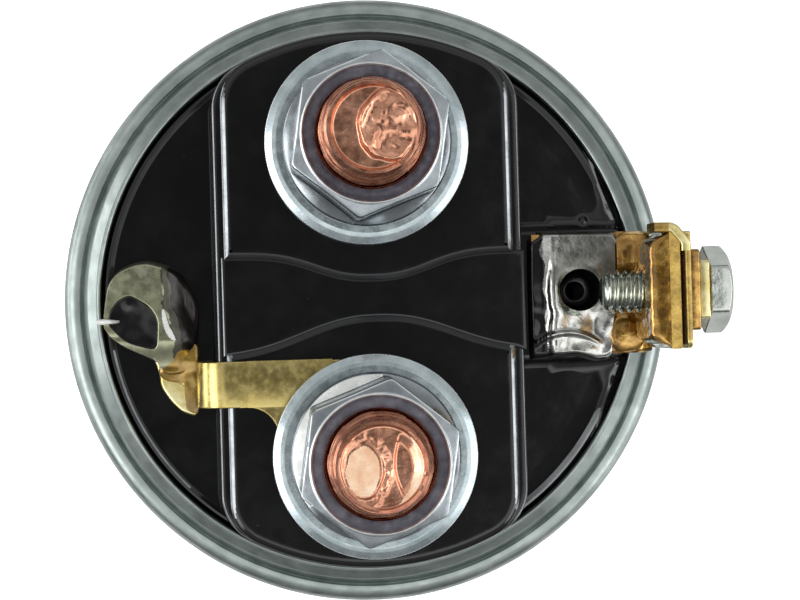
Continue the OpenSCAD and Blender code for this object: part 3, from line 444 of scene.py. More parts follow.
def grid_faces(rows, columns, wrap_rows=False, wrap_columns=True):
    """Quads between neighbouring points of rows x columns points."""
    faces = []
    for i in range(rows if wrap_rows else rows - 1):
        for j in range(columns if wrap_columns else columns - 1):
            k, m = (i + 1) % rows, (j + 1) % columns
            faces.append((i * columns + j, i * columns + m, k * columns + m, k * columns + j))
    return faces


def capped(verts, columns):
    """Tube of rings of points with a flat face at each end."""
    faces = grid_faces(len(verts) // columns, columns)
    return verts, faces + [tuple(range(columns)), tuple(range(len(verts) - columns, len(verts)))]


def revolve(rows, steps=192, closed=True):
    """Surface round Z of rows of (radius, z), each of them one number or one for each angle."""
    verts = [(r * cos(a), r * sin(a), z) for radii, heights in rows for a, r, z in
             zip(round_angles(steps), np.broadcast_to(radii, steps), np.broadcast_to(heights, steps))]
    return verts, grid_faces(len(rows), steps, wrap_rows=closed)


def along_x(shape):
    """The same shape with its X and Z axes swapped."""
    verts, faces = shape
    return [(z, y, x) for x, y, z in verts], faces


def hexagon(across_flats, corner_r, turn, steps):
    """Radii of a hexagon with softened corners, at even angles."""
    return np.array([soft_min(across_flats / 2 / cos(radians((degrees(a) - turn) % 60 - 30)),
                              corner_r, 0.04) for a in round_angles(steps)])


def sheet(rows, columns, point):
    """Open surface: point takes the shares along rows and columns and gives x, y and z."""
    verts = [point(i / (rows - 1), j / (columns - 1)) for i in range(rows) for j in range(columns)]
    return verts, grid_faces(rows, columns, wrap_columns=False)


def slab(loops, levels, limit_r=None, lift=None):
    """Plate with an outer loop and holes (clockwise), as (inset, z) levels from bottom to top."""
    verts, faces, ends = [], [], []
    for loop in loops:
        loop = np.array(loop, float)
        normals = outward(loop)
        base, n = len(verts), len(loop)
        for inset, z in levels:
            pts = loop - normals * inset
            if limit_r:
                pts = pts * np.minimum(1, limit_r / np.linalg.norm(pts, axis=1))[:, None]
            verts += [(x, y, z + (lift(x, y) if lift else 0)) for x, y in pts]
        faces += [tuple(base + k for k in f) for f in grid_faces(len(levels), n)]
        top = base + (len(levels) - 1) * n
        ends.append((list(range(base, base + n)), list(range(top, top + n))))
    for rings in zip(*ends):
        flat = [[Vector((*verts[k][:2], 0)) for k in ring] for ring in rings]
        order = [k for ring in rings for k in ring]
        faces += [tuple(order[k] for k in tri) for tri in tessellate_polygon(flat)]
    return verts, faces


def edged(low, high, bevel):
    """Levels of a plate from low to high with rounded edges."""
    turn = [(bevel * (1 - sin(a)), bevel * (1 - cos(a))) for a in np.radians([0, 30, 60, 90])]
    bottom = [(i, low + z) for i, z in turn]
    top = [(i, high - z) for i, z in reversed(turn)]
    inner = bevel + 0.12
    return [(inner, low)] + bottom + top + [(inner, high)]


def strip(path, widths, thickness, bevels, place):
    """Sheet strip swept along a path in a plane; place turns (along plane, plane, across) into a point."""
    run = np.gradient(path, axis=0)
    run /= np.linalg.norm(run, axis=1, keepdims=True)
    normal = np.stack([-run[:, 1], run[:, 0]], 1)
    t = thickness / 2
    verts = []
    for p, n, width, bevel in zip(path, normal, np.broadcast_to(widths, len(path)),
                                  np.broadcast_to(bevels, len(path))):
        w = width / 2
        section = fillet([(-t, -w), (t, -w), (t, w), (-t, w)], bevel, 3)
        verts += [place(*(p + n * off), across) for off, across in section]
    return capped(verts, 16)


def ring_surface(centre, inner, outer, count, rows, height, wall_z, foot_z):
    """Closed lumpy ring between two outlines: height takes (share, x, y) and gives z."""
    radii = []
    wanted = round_angles(count) - pi
    for points in (inner, outer):
        loop = smooth_loop(points, 720) - np.array(centre)
        angle = np.arctan2(loop[:, 1], loop[:, 0])
        order = np.argsort(angle)
        radii.append(np.interp(wanted, angle[order], np.linalg.norm(loop, axis=1)[order], period=TAU))
    r_in, r_out = radii

    def place(r, a):
        return centre[0] + r * cos(a), centre[1] + r * sin(a)

    verts = []
    for share in np.arange(rows) / (rows - 1):
        for a, r in zip(wanted, r_in + (r_out - r_in) * share):
            x, y = place(r, a)
            verts.append((x, y, height(share, x, y)))
    for radii, z in ((r_out, foot_z), (r_in, foot_z), (r_in, wall_z)):
        verts += [(*place(r, a), z) for a, r in zip(wanted, radii)]
    return verts, grid_faces(rows + 3, count, wrap_rows=True)


def disc(loop, centre, rows, height, foot_z):
    """Closed lumpy disc inside a loop: height takes (share, x, y) and gives z."""
    smallest = 0.015
    verts = []
    for k in range(rows):
        share = 1 - k / (rows - 1) * (1 - smallest)
        verts += [(x, y, height(share, x, y)) for x, y in centre + (loop - centre) * share]
    n = len(loop)
    faces = grid_faces(rows, n) + [tuple(range((rows - 1) * n, rows * n))]
    verts += [(x, y, foot_z) for x, y in loop]
    faces += [(rows * n + j, rows * n + (j + 1) % n, (j + 1) % n, j) for j in range(n)]
    faces.append(tuple(range(rows * n, (rows + 1) * n)))
    return verts, faces


# Case
def make_case():
    """Drawn case with its front wall and the rim rolled over the cap."""
    bore_r, recess_r, recess, wall, inside_r, rim_r = 12.75, 16.4, 1.25, 6.0, 28.4, 27.0
    mount_r, mount_hole_r, mount_turns = 22, 2.5, (90, 210, 330)
    bead = arc((29.5, 58.0), 1.5, -35, 86, 12)
    drum = fillet([(bore_r, recess), (recess_r, recess), (recess_r, 0.0), (CASE_R, 0.0), (CASE_R, 55.9),
                   (CASE_R - 0.25, 56.6)], [0.05, 0.25, 0.25, 1.3, 0.8, 0.0], 5, closed=False)
    rim = fillet([(29.36, 59.5), (29.16, 59.12), (28.98, 59.5), (28.45, 60.62), (27.45, 61.5), (27.3, 61.98),
                  (rim_r, 61.8), (rim_r, 60.95), (28.9, 58.8)],
                 [0.0, 0.05, 0.2, 0.5, 0.4, 0.22, 0.22, 0.1, 0.0], 4, closed=False)
    inside = [(28.9, 43.0), (inside_r, 43.0), (inside_r, wall), (bore_r, wall)]
    holes = [((mount_r * cos(a), mount_r * sin(a)), mount_hole_r, -1, wall + 1)
             for a in np.radians(mount_turns)]
    build("rolled_case", revolve(np.concatenate([drum, bead, rim, inside]), 256), "case_zinc",
          "solenoid_case", holes=holes)


# Cap
def half_land(half_w, end_r, corner_r, low_y):
    """Upper half of the land's outline, from its right side over the top to its left side."""
    cx = half_w - corner_r
    cy = sqrt((end_r - corner_r) ** 2 - cx ** 2)
    turn = azimuth(cx, cy)
    right = np.stack([np.full(11, half_w), np.linspace(low_y, cy, 12)[:-1]], 1)
    corner = arc((cx, cy), corner_r, 0, turn, 10)[:-1]
    top = arc((0, 0), end_r, turn, 180 - turn, 24)
    left = np.concatenate([right, corner])[::-1] * [-1, 1]
    return np.concatenate([right, corner, top, left])


def black_part(name, shape, replaced=None, holes=()):
    """Piece of the black moulding."""
    return build(name, shape, "cap_black", replaced, holes=holes)


def make_cap():
    """Moulded cap: skirt, low side areas, raised land with its band and two raised seats."""
    skirt_r, cavity_r, cavity_top, below, above, pocket_r = 28.8, 24.4, 57.0, 40, 70, 4.1
    rod_pocket = ((0, 0), pocket_r, 50, 61.2)
    motor_lead_hole = ((-23.4, -1.6), 1.9, below, above)
    profile = fillet([(0.0, 60.7), (24.2, 60.74), (25.6, 60.76), (25.95, 60.78), (26.15, 60.86),
                      (26.35, 60.95), (26.65, 60.92), (26.8, 60.7), (skirt_r, 58.4), (skirt_r, CAP_LOW_Z),
                      (cavity_r, CAP_LOW_Z), (cavity_r, cavity_top), (0.0, cavity_top)],
                     [0, 0.5, 0, 0.1, 0.1, 0.12, 0.12, 0.1, 0.2, 0.3, 0.3, 0.5, 0], 4, closed=False)
    obj = black_part("cap_moulding", revolve(profile, 224, closed=False), "terminal_cap",
                     [(LEAD_HOLE, LEAD_HOLE_R, below, above), motor_lead_hole, rod_pocket])

    def rim_ridge_highlight(c, n):
        """Painted highlight: bright stretches of the raised edge just inside the rim."""
        turn = azimuth(c.x, c.y)
        return (c.z > 60.77 and 26.15 < c.xy.length < 26.5 and n.z < 0.995
                and (-70 < turn < 5 or -170 < turn < -135))

    def ring_highlight_band(c, n):
        """Painted highlight: a wider grey line along the cap's raised edge beside the terminal."""
        return -56 < azimuth(c.x, c.y) < -14 and c.z > 60.7 and 25.9 < c.xy.length < 26.5

    # Painted highlight on the raised edge inside the rim.
    recolour(obj, "cap_edge_highlight", rim_ridge_highlight)
    # Painted highlight along the raised edge beside the terminal.
    recolour(obj, "cap_ring_highlight", ring_highlight_band)

    body_half = half_land(15.3, 26.75, 5.0, 0.0)
    body = np.concatenate([body_half[:-1], -body_half[:-1]])
    body_levels = [(-0.2, 60.6), (-0.5, 60.78), (-0.4, 60.9), (-0.3, 61.3), (-0.12, 63.0), (0.0, 64.7),
                   (0.06, 64.88), (0.18, 64.99), (0.4, 65.02), (0.7, 65.02)]
    obj = black_part("cap_land", slab([body], body_levels, limit_r=26.88), holes=[rod_pocket])
    # Painted highlight along the land's top fillet.
    recolour(obj, "cap_edge_highlight", lambda c, n: c.z > 64.85 and 0.1 < n.z < 0.97)

    seat_w, upper_y, lower_y = 14.45, 4.25, 5.25
    upper = half_land(seat_w, 26.7, 4.6, upper_y)
    lower = half_land(seat_w, 26.7, 4.6, lower_y)
    across = np.linspace(-seat_w, seat_w, 50)
    dip = np.stack([across, upper_y - 2.45 * np.exp(-np.abs((across - 0.3) / 7.0) ** 2.6)], 1)
    rise = np.stack([across, lower_y - 3.7 * np.exp(-np.abs((across + 0.8) / 9.6) ** 2.4)], 1)
    seat_levels = [(-0.06, 64.2), (0.0, 65.0), (0.03, 65.13), (0.09, 65.21), (0.19, 65.28), (0.32, 65.36),
                   (0.45, 65.43), (0.56, 65.475), (0.7, LAND_Z), (1.0, LAND_Z)]
    for name, outline in (("battery_seat", np.concatenate([upper[1:-1], dip])),
                          ("motor_seat", -np.concatenate([lower[1:-1], rise]))):
        obj = black_part(name, slab([outline], seat_levels, limit_r=26.85))
        recolour(obj, "cap_matt", lambda c, n: abs(c.x) < 13.9 and abs(c.y) < 6.0 and n.z < 0.99)
        # Painted highlight on the seats' side fillets.
        recolour(obj, "cap_edge_highlight", lambda c, n: abs(c.x) > 13.9 and abs(c.y) > 4.9 and c.z > 65.1
                 and 0.1 < n.z < 0.99)

    band = np.concatenate([(-rise)[::-1], [(15.3, -5.2), (15.3, upper_y)], dip[::-1]])
    band_levels = [(-0.3, 64.6), (-0.3, 65.0), (-0.25, 65.12), (-0.12, 65.2), (0.1, 65.22), (0.4, 65.22)]
    obj = black_part("cap_band", slab([band], band_levels))
    recolour(obj, "cap_matt", lambda c, n: n.z < 0.99)
    # Painted highlight on the band's left edge only.
    recolour(obj, "cap_edge_highlight", lambda c, n: c.x < -14.3 and c.z > 64.9 and 0.1 < n.z < 0.995)

    pad = fillet([(14.2, -6.6), (25.9, -6.6), (25.9, 6.6), (14.2, 6.6)], [0.0, 1.0, 1.0, 0.0], 5)
    pad_levels = [(-1.0, 60.7), (-0.55, 60.82), (-0.25, 61.15), (-0.1, 61.7), (-0.02, 62.3), (0.05, 63.0),
                  (0.2, 63.3), (0.45, 63.4), (0.7, 63.4)]
    build("terminal_pad", slab([pad, hole_loop(LEAD_HOLE, LEAD_HOLE_R)], pad_levels, limit_r=26.7),
          "potting")


def make_potting():
    """Sealing compound that climbs the rim and the pad on both sides of the switch terminal."""
    inner_r, outer_r, first_turn, turns = 19.0, 26.85, 13.5, 34
    for name, sign in (("potting_upper", 1), ("potting_lower", -1)):

        def point(out, along):
            """Place of the compound's skin at shares from the axis out and away from the pad."""
            r = inner_r + (outer_r - inner_r) * out
            turn = first_turn + turns * along
            a = radians(turn)
            x, y = r * cos(a), r * sin(a)
            near_pad = exp(-max(0.0, y - 6.7) / 0.5)
            near_rim = exp(-(outer_r - r) / 0.5) * (1 - step(turn, 20, 36))
            knob = 0.4 * exp(-((x - 22.2) ** 2 + (y - 7.5) ** 2) / 0.22) if sign > 0 else 0.0
            lobe = 0.3 * exp(-((x - 25.0) ** 2 + (y - 8.1) ** 2) / 1.6)
            height = 0.85 * near_pad + 1.1 * near_rim + knob + lobe + 0.04 * bumpy(x, y, sign, 0.6)
            fade = (1 - step(turn, 32, 46)) * step(r, inner_r, inner_r + 1.5)
            return x, sign * y, 60.68 + height * fade

        build(name, sheet(60, 110, point), "potting")


# Studs, washers and nuts
def tip_battery(x, y):
    """Torn end of the battery stud: a smooth crescent on the left beside a folded raised patch."""
    reach = hypot(x - 1.3, 0.85 * (y - 0.1)) + 0.25 * bumpy(x, y, 0, 0.7, 3)
    high = step(2.75 - reach, -0.14, 0.16)
    folds = 0.3 * bumpy(x, y, 0, 0.55, 5) + 0.14 * bumpy(x, y, 0, 1.1, 8) + 0.03 * bumpy(x, y, 0, 2.6, 2)
    lip = 0.16 * hill(reach, 2.45, 0.22) * step(-x, -1.0, 0.6)
    crescent = 0.03 * bumpy(x, y, 0, 0.35, 1) + 0.05 * x - 0.05
    return -0.36 + high * (0.3 + folds + lip) + (1 - high) * crescent


def tip_motor(x, y):
    """Torn end of the motor stud: a slanting patch carrying a painted highlight, small lumps round it and a
    hollow on the right.
    """
    reach = hypot((x + 1.75) / 1.8, (y + 0.25) / 2.65) + 0.16 * bumpy(x, y, 0, 0.6, 3)
    band = hill(reach, 1.2, 0.17) * (0.3 + 0.7 * step(x - 0.5 * y, -2.5, 0.5))
    right = step(x - 0.09 * y * y + 0.05 * y, 1.05, 1.25)
    patch = 0.1 * (x + 1.7) - 0.05 * y + 0.05 * bumpy(x, y, 0, 0.5, 6) + 0.02 * bumpy(x, y, 0, 1.6, 2)
    lumps = 0.2 * bumpy(x, y, 0, 1.6, 4) + 0.09 * bumpy(x, y, 0, 3.0, 9)
    hollow = -0.55 + 0.46 * step(hypot(x, y) + 0.12 * bumpy(x, y, 0, 0.6, 1), 2.7, 3.75)
    inside = 1 - step(reach, 0.92, 1.08)
    rest = 0.04 * bumpy(x, y, 0, 0.5, 1) - 0.12
    return (1 - right) * (inside * patch + (1 - inside) * rest + band * (0.1 + lumps)) + right * hollow - 0.2


def motor_tip_highlight(x, y):
    """Painted highlight: the pale patch of the motor stud and the pale wall of its hollow."""
    reach = hypot((x + 1.8) / 1.7, (y + 0.3) / 2.55) + 0.25 * bumpy(x, y, 0, 0.6, 3)
    turn = azimuth(x, y) + 12
    crescent = 3.0 + 0.75 * (abs(turn) / 58) ** 2 + 0.12 * bumpy(x, y, 0, 1, 2)
    return reach < 0.92 or (abs(turn) < 58 and crescent < hypot(x, y) < 3.75)


def make_stud(side, y0, tip, highlight_mask=None):
    """Contact stud: head, square neck, shank, tapering thread and torn end, with a painted highlight patch
    where a mask is given.
    """
    node = side + "_stud"
    tip_z = span(node, "z")[1]
    steps, rings = 160, 44
    angles = round_angles(steps)
    pitch, edge_r, neck, shank_r, shank_z, thread_z = 1.0, 4.15, 5.15, 4.95, 59.6, 66.0
    head_z = STUD_FOOT_Z + 4.0
    square = [neck / max(abs(cos(a)), abs(sin(a))) for a in angles]
    rows = [(0.0, STUD_FOOT_Z), (STUD_HEAD_R - 0.4, STUD_FOOT_Z), (STUD_HEAD_R, STUD_FOOT_Z + 0.3),
            (STUD_HEAD_R, head_z - 0.2), (STUD_HEAD_R - 0.2, head_z), (square, head_z + 0.02),
            (square, shank_z), (shank_r, shank_z + 0.02)]
    for z in np.arange(thread_z, tip_z - 0.04, 0.1):
        below = tip_z - z
        crest = edge_r + (STUD_R - edge_r) * step(below, -0.8, 3.6)
        depth = (0.24 + 0.3 * step(below, 0.5, 3.5)) * step(below, 0.1, 0.5)
        dent = 0.05 * (1 - step(below, 2.0, 5.0))
        rows.append(([crest - thread(depth, pitch, z - pitch * a / TAU)
                      + dent * bumpy(5 * cos(a), 5 * sin(a), z, 0.9, y0) for a in angles], z))
    for share in np.arange(1, rings + 1) / rings:
        r = (edge_r - 0.12) * (1 - share)
        whole = step(share, 0.0, 0.08)
        rows.append((r, [tip_z + whole * tip(r * cos(a), r * sin(a)) for a in angles]))
    obj = build(node + "_turned", revolve(rows, steps, closed=False), "copper", node, origin=(0, y0, 0),
                crease=60)

    def at_tip(c, n):
        return c.z > tip_z - 1.4 and c.xy.length < edge_r - 0.1

    recolour(obj, "copper_tip", at_tip)
    # Painted highlight on the motor stud's tip.
    if highlight_mask:
        recolour(obj, "copper_highlight", lambda c, n: at_tip(c, n) and highlight_mask(c.x, c.y))


def make_washer(side, y0):
    """Plain washer, faintly dished, with a bevelled upper edge."""
    node = side + "_washer"
    low, top = span(node, "z")
    bore_r = 5.3
    profile = fillet([(bore_r, low), (WASHER_R, low), (WASHER_R, top - 0.55), (WASHER_R - 0.7, top - 0.2),
                      (WASHER_R - 1.1, top - 0.08), (bore_r, top)], [0.1, 0.15, 0.15, 0.4, 0.5, 0.2], 5)
    obj = build(node + "_plain", revolve(profile, 200), "bright_zinc", node, origin=(0, y0, 0), crease=50)
    # Painted highlight along the washer's outer edge.
    recolour(obj, "zinc_edge_highlight", lambda c, n: c.z > low + 0.9 and c.xy.length > WASHER_R - 0.09)


def make_nut(side, y0):
    """Hexagon nut with a sloping round collar, a bevelled top and painted highlights on its edges and collar.
    """
    node = side + "_nut"
    low, top = span(node, "z")
    steps, face_r, bore_r, slope, collar, collar_slope = 360, 6.68, 5.1, 3.4, 0.91, 0.6
    hexes = hexagon(NUT_AF, NUT_AF / sqrt(3) - 0.1, NUT_TURN, steps)
    edge_z = top - (hexes - face_r) / slope - 0.1
    foot_z = low + collar + (8.04 - hexes) * collar_slope
    fall = hexes - 0.12 - face_r
    rows = [(bore_r, low), (8.1, low), (8.32, low + 0.12), (8.4, low + 0.4), (8.34, low + 0.7),
            (8.22, low + 0.86), (8.14, low + collar)]
    collar_row = len(rows) - 1
    rows += [(hexes + 0.1, foot_z), (hexes + 0.02, foot_z + 0.09), (hexes, low + 1.9), (hexes, low + 4.5)]
    bright_from = len(rows)
    rows += [(hexes - drop, edge_z + up)
             for drop, up in ((0, -0.1), (0.02, -0.04), (0.06, 0.0), (0.12, 0.025))]
    bright_to = len(rows) - 1
    rows += [(hexes - 0.12 - fall * t, edge_z + 0.03 + (top - edge_z - 0.13) * t) for t in (0.3, 0.6, 0.9)]
    lip_from = len(rows)
    rows += [(face_r - inset, top + up) for inset, up in
             ((0, -0.1), (0.05, -0.05), (0.1, 0.0), (0.14, 0.015), (0.18, 0.0), (0.23, -0.05), (0.28, -0.1))]
    lip_to = len(rows) - 1
    rows += [(5.8, top - 0.12), (5.3, top - 0.16), (5.18, top - 0.24), (bore_r, top - 0.5),
             (bore_r, top - 9.0)]
    obj = build(node + "_hex", revolve(rows, steps), "nut_zinc", node, origin=(0, y0, 0),
                crease=50)
    looks = ("nut_face", "zinc_edge_highlight", "copper", "white_tin_and_highlight")
    for look in looks:
        obj.data.materials.append(MATS[look])
    for face in obj.data.polygons:
        row = min(face.vertices) // steps
        x, y, _ = face.center / MM
        turn = azimuth(x, y)
        # Noise that breaks up the painted highlights on the lip and hex edges; the hex edges facing -Y get
        # none.
        highlight_breakup = bumpy(x, y, y0, 0.5, 4)
        lip_highlight = lip_from <= row < lip_to and highlight_breakup > -0.75
        hex_highlight = bright_from <= row < bright_to and not -150 < turn < -30 and highlight_breakup > -0.35
        if lip_highlight or hex_highlight:
            look = "zinc_edge_highlight"
        elif row >= lip_from:
            look = "copper" if hypot(x, y) < 5.28 else "nut_face"
        # Painted highlight on the collar's upper-left slivers: pale white on the motor nut, near-white zinc
        # on the battery nut.
        elif row == collar_row and 84 < turn % 360 < 215 and (y0 < 0 or highlight_breakup > 0.2):
            look = "white_tin_and_highlight" if y0 < 0 else "zinc_edge_highlight"
        else:
            continue
        face.material_index = looks.index(look) + 1


# Motor strap and its lug
FOOT_TILT = 0.13
LUG_CENTRE = np.array((-23.6, -1.6))
LUG_HOLE = [(-24.8, 0.6), (-23.9, 0.8), (-22.8, 0.1), (-22.0, -0.6), (-21.5, -1.6), (-21.5, -2.9),
            (-21.6, -4.0), (-22.2, -4.25), (-23.7, -3.9), (-24.7, -3.4), (-25.6, -2.5), (-26.1, -1.7),
            (-25.9, -0.5), (-25.4, 0.2)]
LUG_OUTER = [(-26.7, -1.7), (-26.4, 1.0), (-26.1, 2.3), (-25.3, 3.4), (-23.9, 4.2), (-22.3, 4.5),
             (-20.9, 4.2), (-19.7, 3.8), (-18.8, 3.1), (-18.1, 2.0), (-17.4, 0.4), (-17.2, -1.1),
             (-17.3, -3.6), (-17.45, -6.0), (-18.6, -7.0), (-20.6, -7.0), (-21.5, -5.8), (-23.0, -5.0),
             (-24.6, -4.2), (-26.0, -3.2), (-26.5, -2.5)]
FOOT_OUTLINE = [(-17.55, -10.9), (-18.7, -11.0), (-19.7, -10.3), (-20.6, -9.2), (-21.2, -8.1), (-21.4, -6.8),
                (-22.0, -5.3), (-23.4, -4.6), (-25.2, -3.7), (-26.4, -2.4), (-26.5, 0.3), (-26.0, 2.1),
                (-24.8, 3.5), (-23.0, 4.3), (-21.3, 4.3), (-20.0, 3.4), (-19.0, 1.9), (-18.4, 0.2),
                (-18.2, -2.4), (-18.0, -5.0), (-17.55, -7.0)]
FLUX_OUTLINE = [(-17.45, -10.7), (-17.4, -6.5), (-17.4, -4.2), (-18.4, -3.9), (-19.4, -4.7), (-20.6, -5.4),
                (-21.3, -6.3), (-21.2, -7.2), (-20.5, -7.7), (-19.4, -7.9), (-18.9, -8.4), (-18.8, -9.6),
                (-18.6, -10.7)]


def foot_lift(x, y):
    """Rise of the strap's foot where it leaves the lug and leans towards the arm."""
    return FOOT_TILT * (x + 19.5) * step(-y, 6.6, 7.6)


def make_strap():
    """Brass strap: ring and arm on the land, bend, leg and foot."""
    bend_r, arm_w, arm_y, arm_t = 2.65, 4.6, -8.1, 0.9
    arm_z = LAND_Z + arm_t / 2
    ring = arc((0, -STUD_Y), 9.6, 170.4, 448, 90)
    blend = arc((-12.42, -13.4), 3.0, 90, -9.6, 14)
    outline = np.concatenate([[(-13.2, -10.4)], blend, ring[1:], [(-0.1, -5.9), (-13.2, -5.9)]])
    hole = hole_loop((0, -STUD_Y), 5.2, 61)
    build("strap_ring", slab([outline, hole], edged(LAND_Z, LAND_Z + STRAP_T - 0.01, 0.06)), "brass",
          "motor_strap")
    path = np.concatenate([[(x, arm_z) for x in (-4.0, -10.0, -12.3, -12.6)],
                           arc((-14.4, arm_z - bend_r), bend_r, 90, 180, 22), [(-17.05, 62.6)],
                           arc((-17.9, 62.2), 0.85, 0, -90, 8), [(-18.6, 61.35)]])
    bevels = [0.01 if x > -12.5 else 0.14 for x, z in path]
    build("strap_arm", strip(path, arm_w, arm_t, bevels, lambda p, q, w: (p, w + arm_y, q)), "brass")
    loops = [smooth_loop(FOOT_OUTLINE, 160)[::-1], smooth_loop(LUG_HOLE, 60)]
    build("strap_foot", slab(loops, edged(SIDE_Z, SIDE_Z + STRAP_T, 0.25), lift=foot_lift), "pale_brass")


def make_lug():
    """Solder heaped round the lug's hole with painted shade on its right flank and a painted highlight on its
    ridge, compound in the hole, flux and the lead's bent point.
    """

    def ridge(y):
        """Place of the solder's ridge, where it turns down to the right."""
        return -20.6 + 1.25 * step(-y, -0.3, 4.0) + 0.06 * bumpy(0, y, 0, 0.6, 3)

    def heap(share, x, y):
        rim = min(1.0, share / 0.07, (1 - share) / 0.14)
        fall = 0.32 * max(0.0, x - ridge(y) + 0.2) ** 1.55
        arm = 0.5 * step(-x, 22.0, 24.5) * step(-y, 1.5, 3.2)
        foot = 0.95 * step(-y, 3.4, 6.4)
        lumps = 0.05 * bumpy(x, y, 0, 0.45, 2) + 0.015 * bumpy(x, y, 0, 1.5, 7)
        top, least, blend = 1.62 - fall - arm - foot + lumps, 0.4, 0.2
        return 61.5 - dome(1 - rim) * soft_min(-top, -least, blend)

    shape = ring_surface(LUG_CENTRE, LUG_HOLE, LUG_OUTER, 280, 60, heap, 61.2, 61.0)
    obj = build("lug_solder", shape, "solder_dark", "strap_solder", crease=70)

    def past(c):
        """Distance past the ridge, with the ragged border of the painted shade."""
        return c.x - ridge(c.y) + 0.6 * bumpy(c.x, c.y, 0, 0.5, 5) + 0.15 * bumpy(c.x, c.y, 0, 2.5, 3)

    def amber(c, n):
        return c.y < -6.1 + (c.x + 20.5) + 0.3 * bumpy(c.x, c.y, 0, 0.8, 6) and c.y < -4.6

    def drop(c, n):
        """Painted highlight: a long bright drop along the ridge, wider at its lower end."""
        along = (-0.45 - c.y) / 3.1
        off = abs(c.x - (-20.68 + 0.3 * along + 0.75 * along ** 3)) + 0.05 * bumpy(c.x, c.y, 0, 1.5, 2)
        return 0 < along < 1 and off < (0.13 + 0.26 * along) * dome(along ** 4)

    # Painted shade on the flank that falls right of the ridge, darker further out.
    recolour(obj, "flank_half_shade", lambda c, n: past(c) > -0.2)
    recolour(obj, "flank_deep_shade", lambda c, n: past(c) > 0.65)
    recolour(obj, "flux_and_shade", amber)
    # Painted highlight on the solder's ridge.
    recolour(obj, "white_tin_and_highlight", drop)

    def filling(share, x, y):
        knob = 0.1 * exp(-((x + 24.3) ** 2 + (y - 0.15) ** 2) / 0.3) + 0.05 * bumpy(x, y, 0, 0.7, 3)
        return 61.8 - 0.12 * (1 - share * share) + knob

    def puddle(share, x, y):
        climb = 0.42 * step(y, -7.8, -5.6) * step(x, -21.9, -20.4)
        lumps = 0.07 * bumpy(x, y, 0, 0.9, 4) * (1 - share) ** 0.5
        return 61.66 + foot_lift(x, y) + 0.16 * dome(share ** 3) + climb + lumps

    past_hole = smooth_loop(LUG_CENTRE + (np.array(LUG_HOLE) - LUG_CENTRE) * 1.05, 80)
    build("lug_compound", disc(past_hole, LUG_CENTRE, 18, filling, 61.2), "compound",
          crease=70)
    flux_loop = smooth_loop(FLUX_OUTLINE, 90)
    build("lug_flux", disc(flux_loop, np.array((-18.9, -6.9)), 30, puddle, 61.2), "flux_and_shade",
          crease=60)
    make_wire("motor_lead", -1.55, "white_tin_and_highlight",
              [(-23.05, 55.0), (-23.1, 59.0), (-23.6, 60.2), (-24.8, 60.7), (-25.3, 61.5), (-25.5, 62.7),
               (-26.0, 63.25), (-26.6, 63.4), (-27.2, 63.3)],
              [0.6, 0.6, 0.5, 0.3, 0.16, 0.18, 0.24, 0.3, 0.26])


def make_wire(node, y0, look, path, radii):
    """End of a coil lead: round wire along a path in the XZ plane."""
    sides, smoothings = 20, 12
    pts = np.array(path, float)
    keys = np.arange(len(pts))
    t = np.linspace(0, len(pts) - 1, 10 * len(pts))
    line = np.stack([np.interp(t, keys, pts[:, k]) for k in (0, 1)], 1)
    for _ in range(smoothings):
        line[1:-1] = (line[:-2] + 2 * line[1:-1] + line[2:]) / 4
    run = np.gradient(line, axis=0)
    run /= np.linalg.norm(run, axis=1, keepdims=True)
    verts = [(p[0] - d[1] * r * cos(a), y0 + r * sin(a), p[1] + d[0] * r * cos(a))
             for p, d, r in zip(line, run, np.interp(t, keys, radii)) for a in round_angles(sides)]
    build(node + "_end", capped(verts, sides), look, node, crease=60)


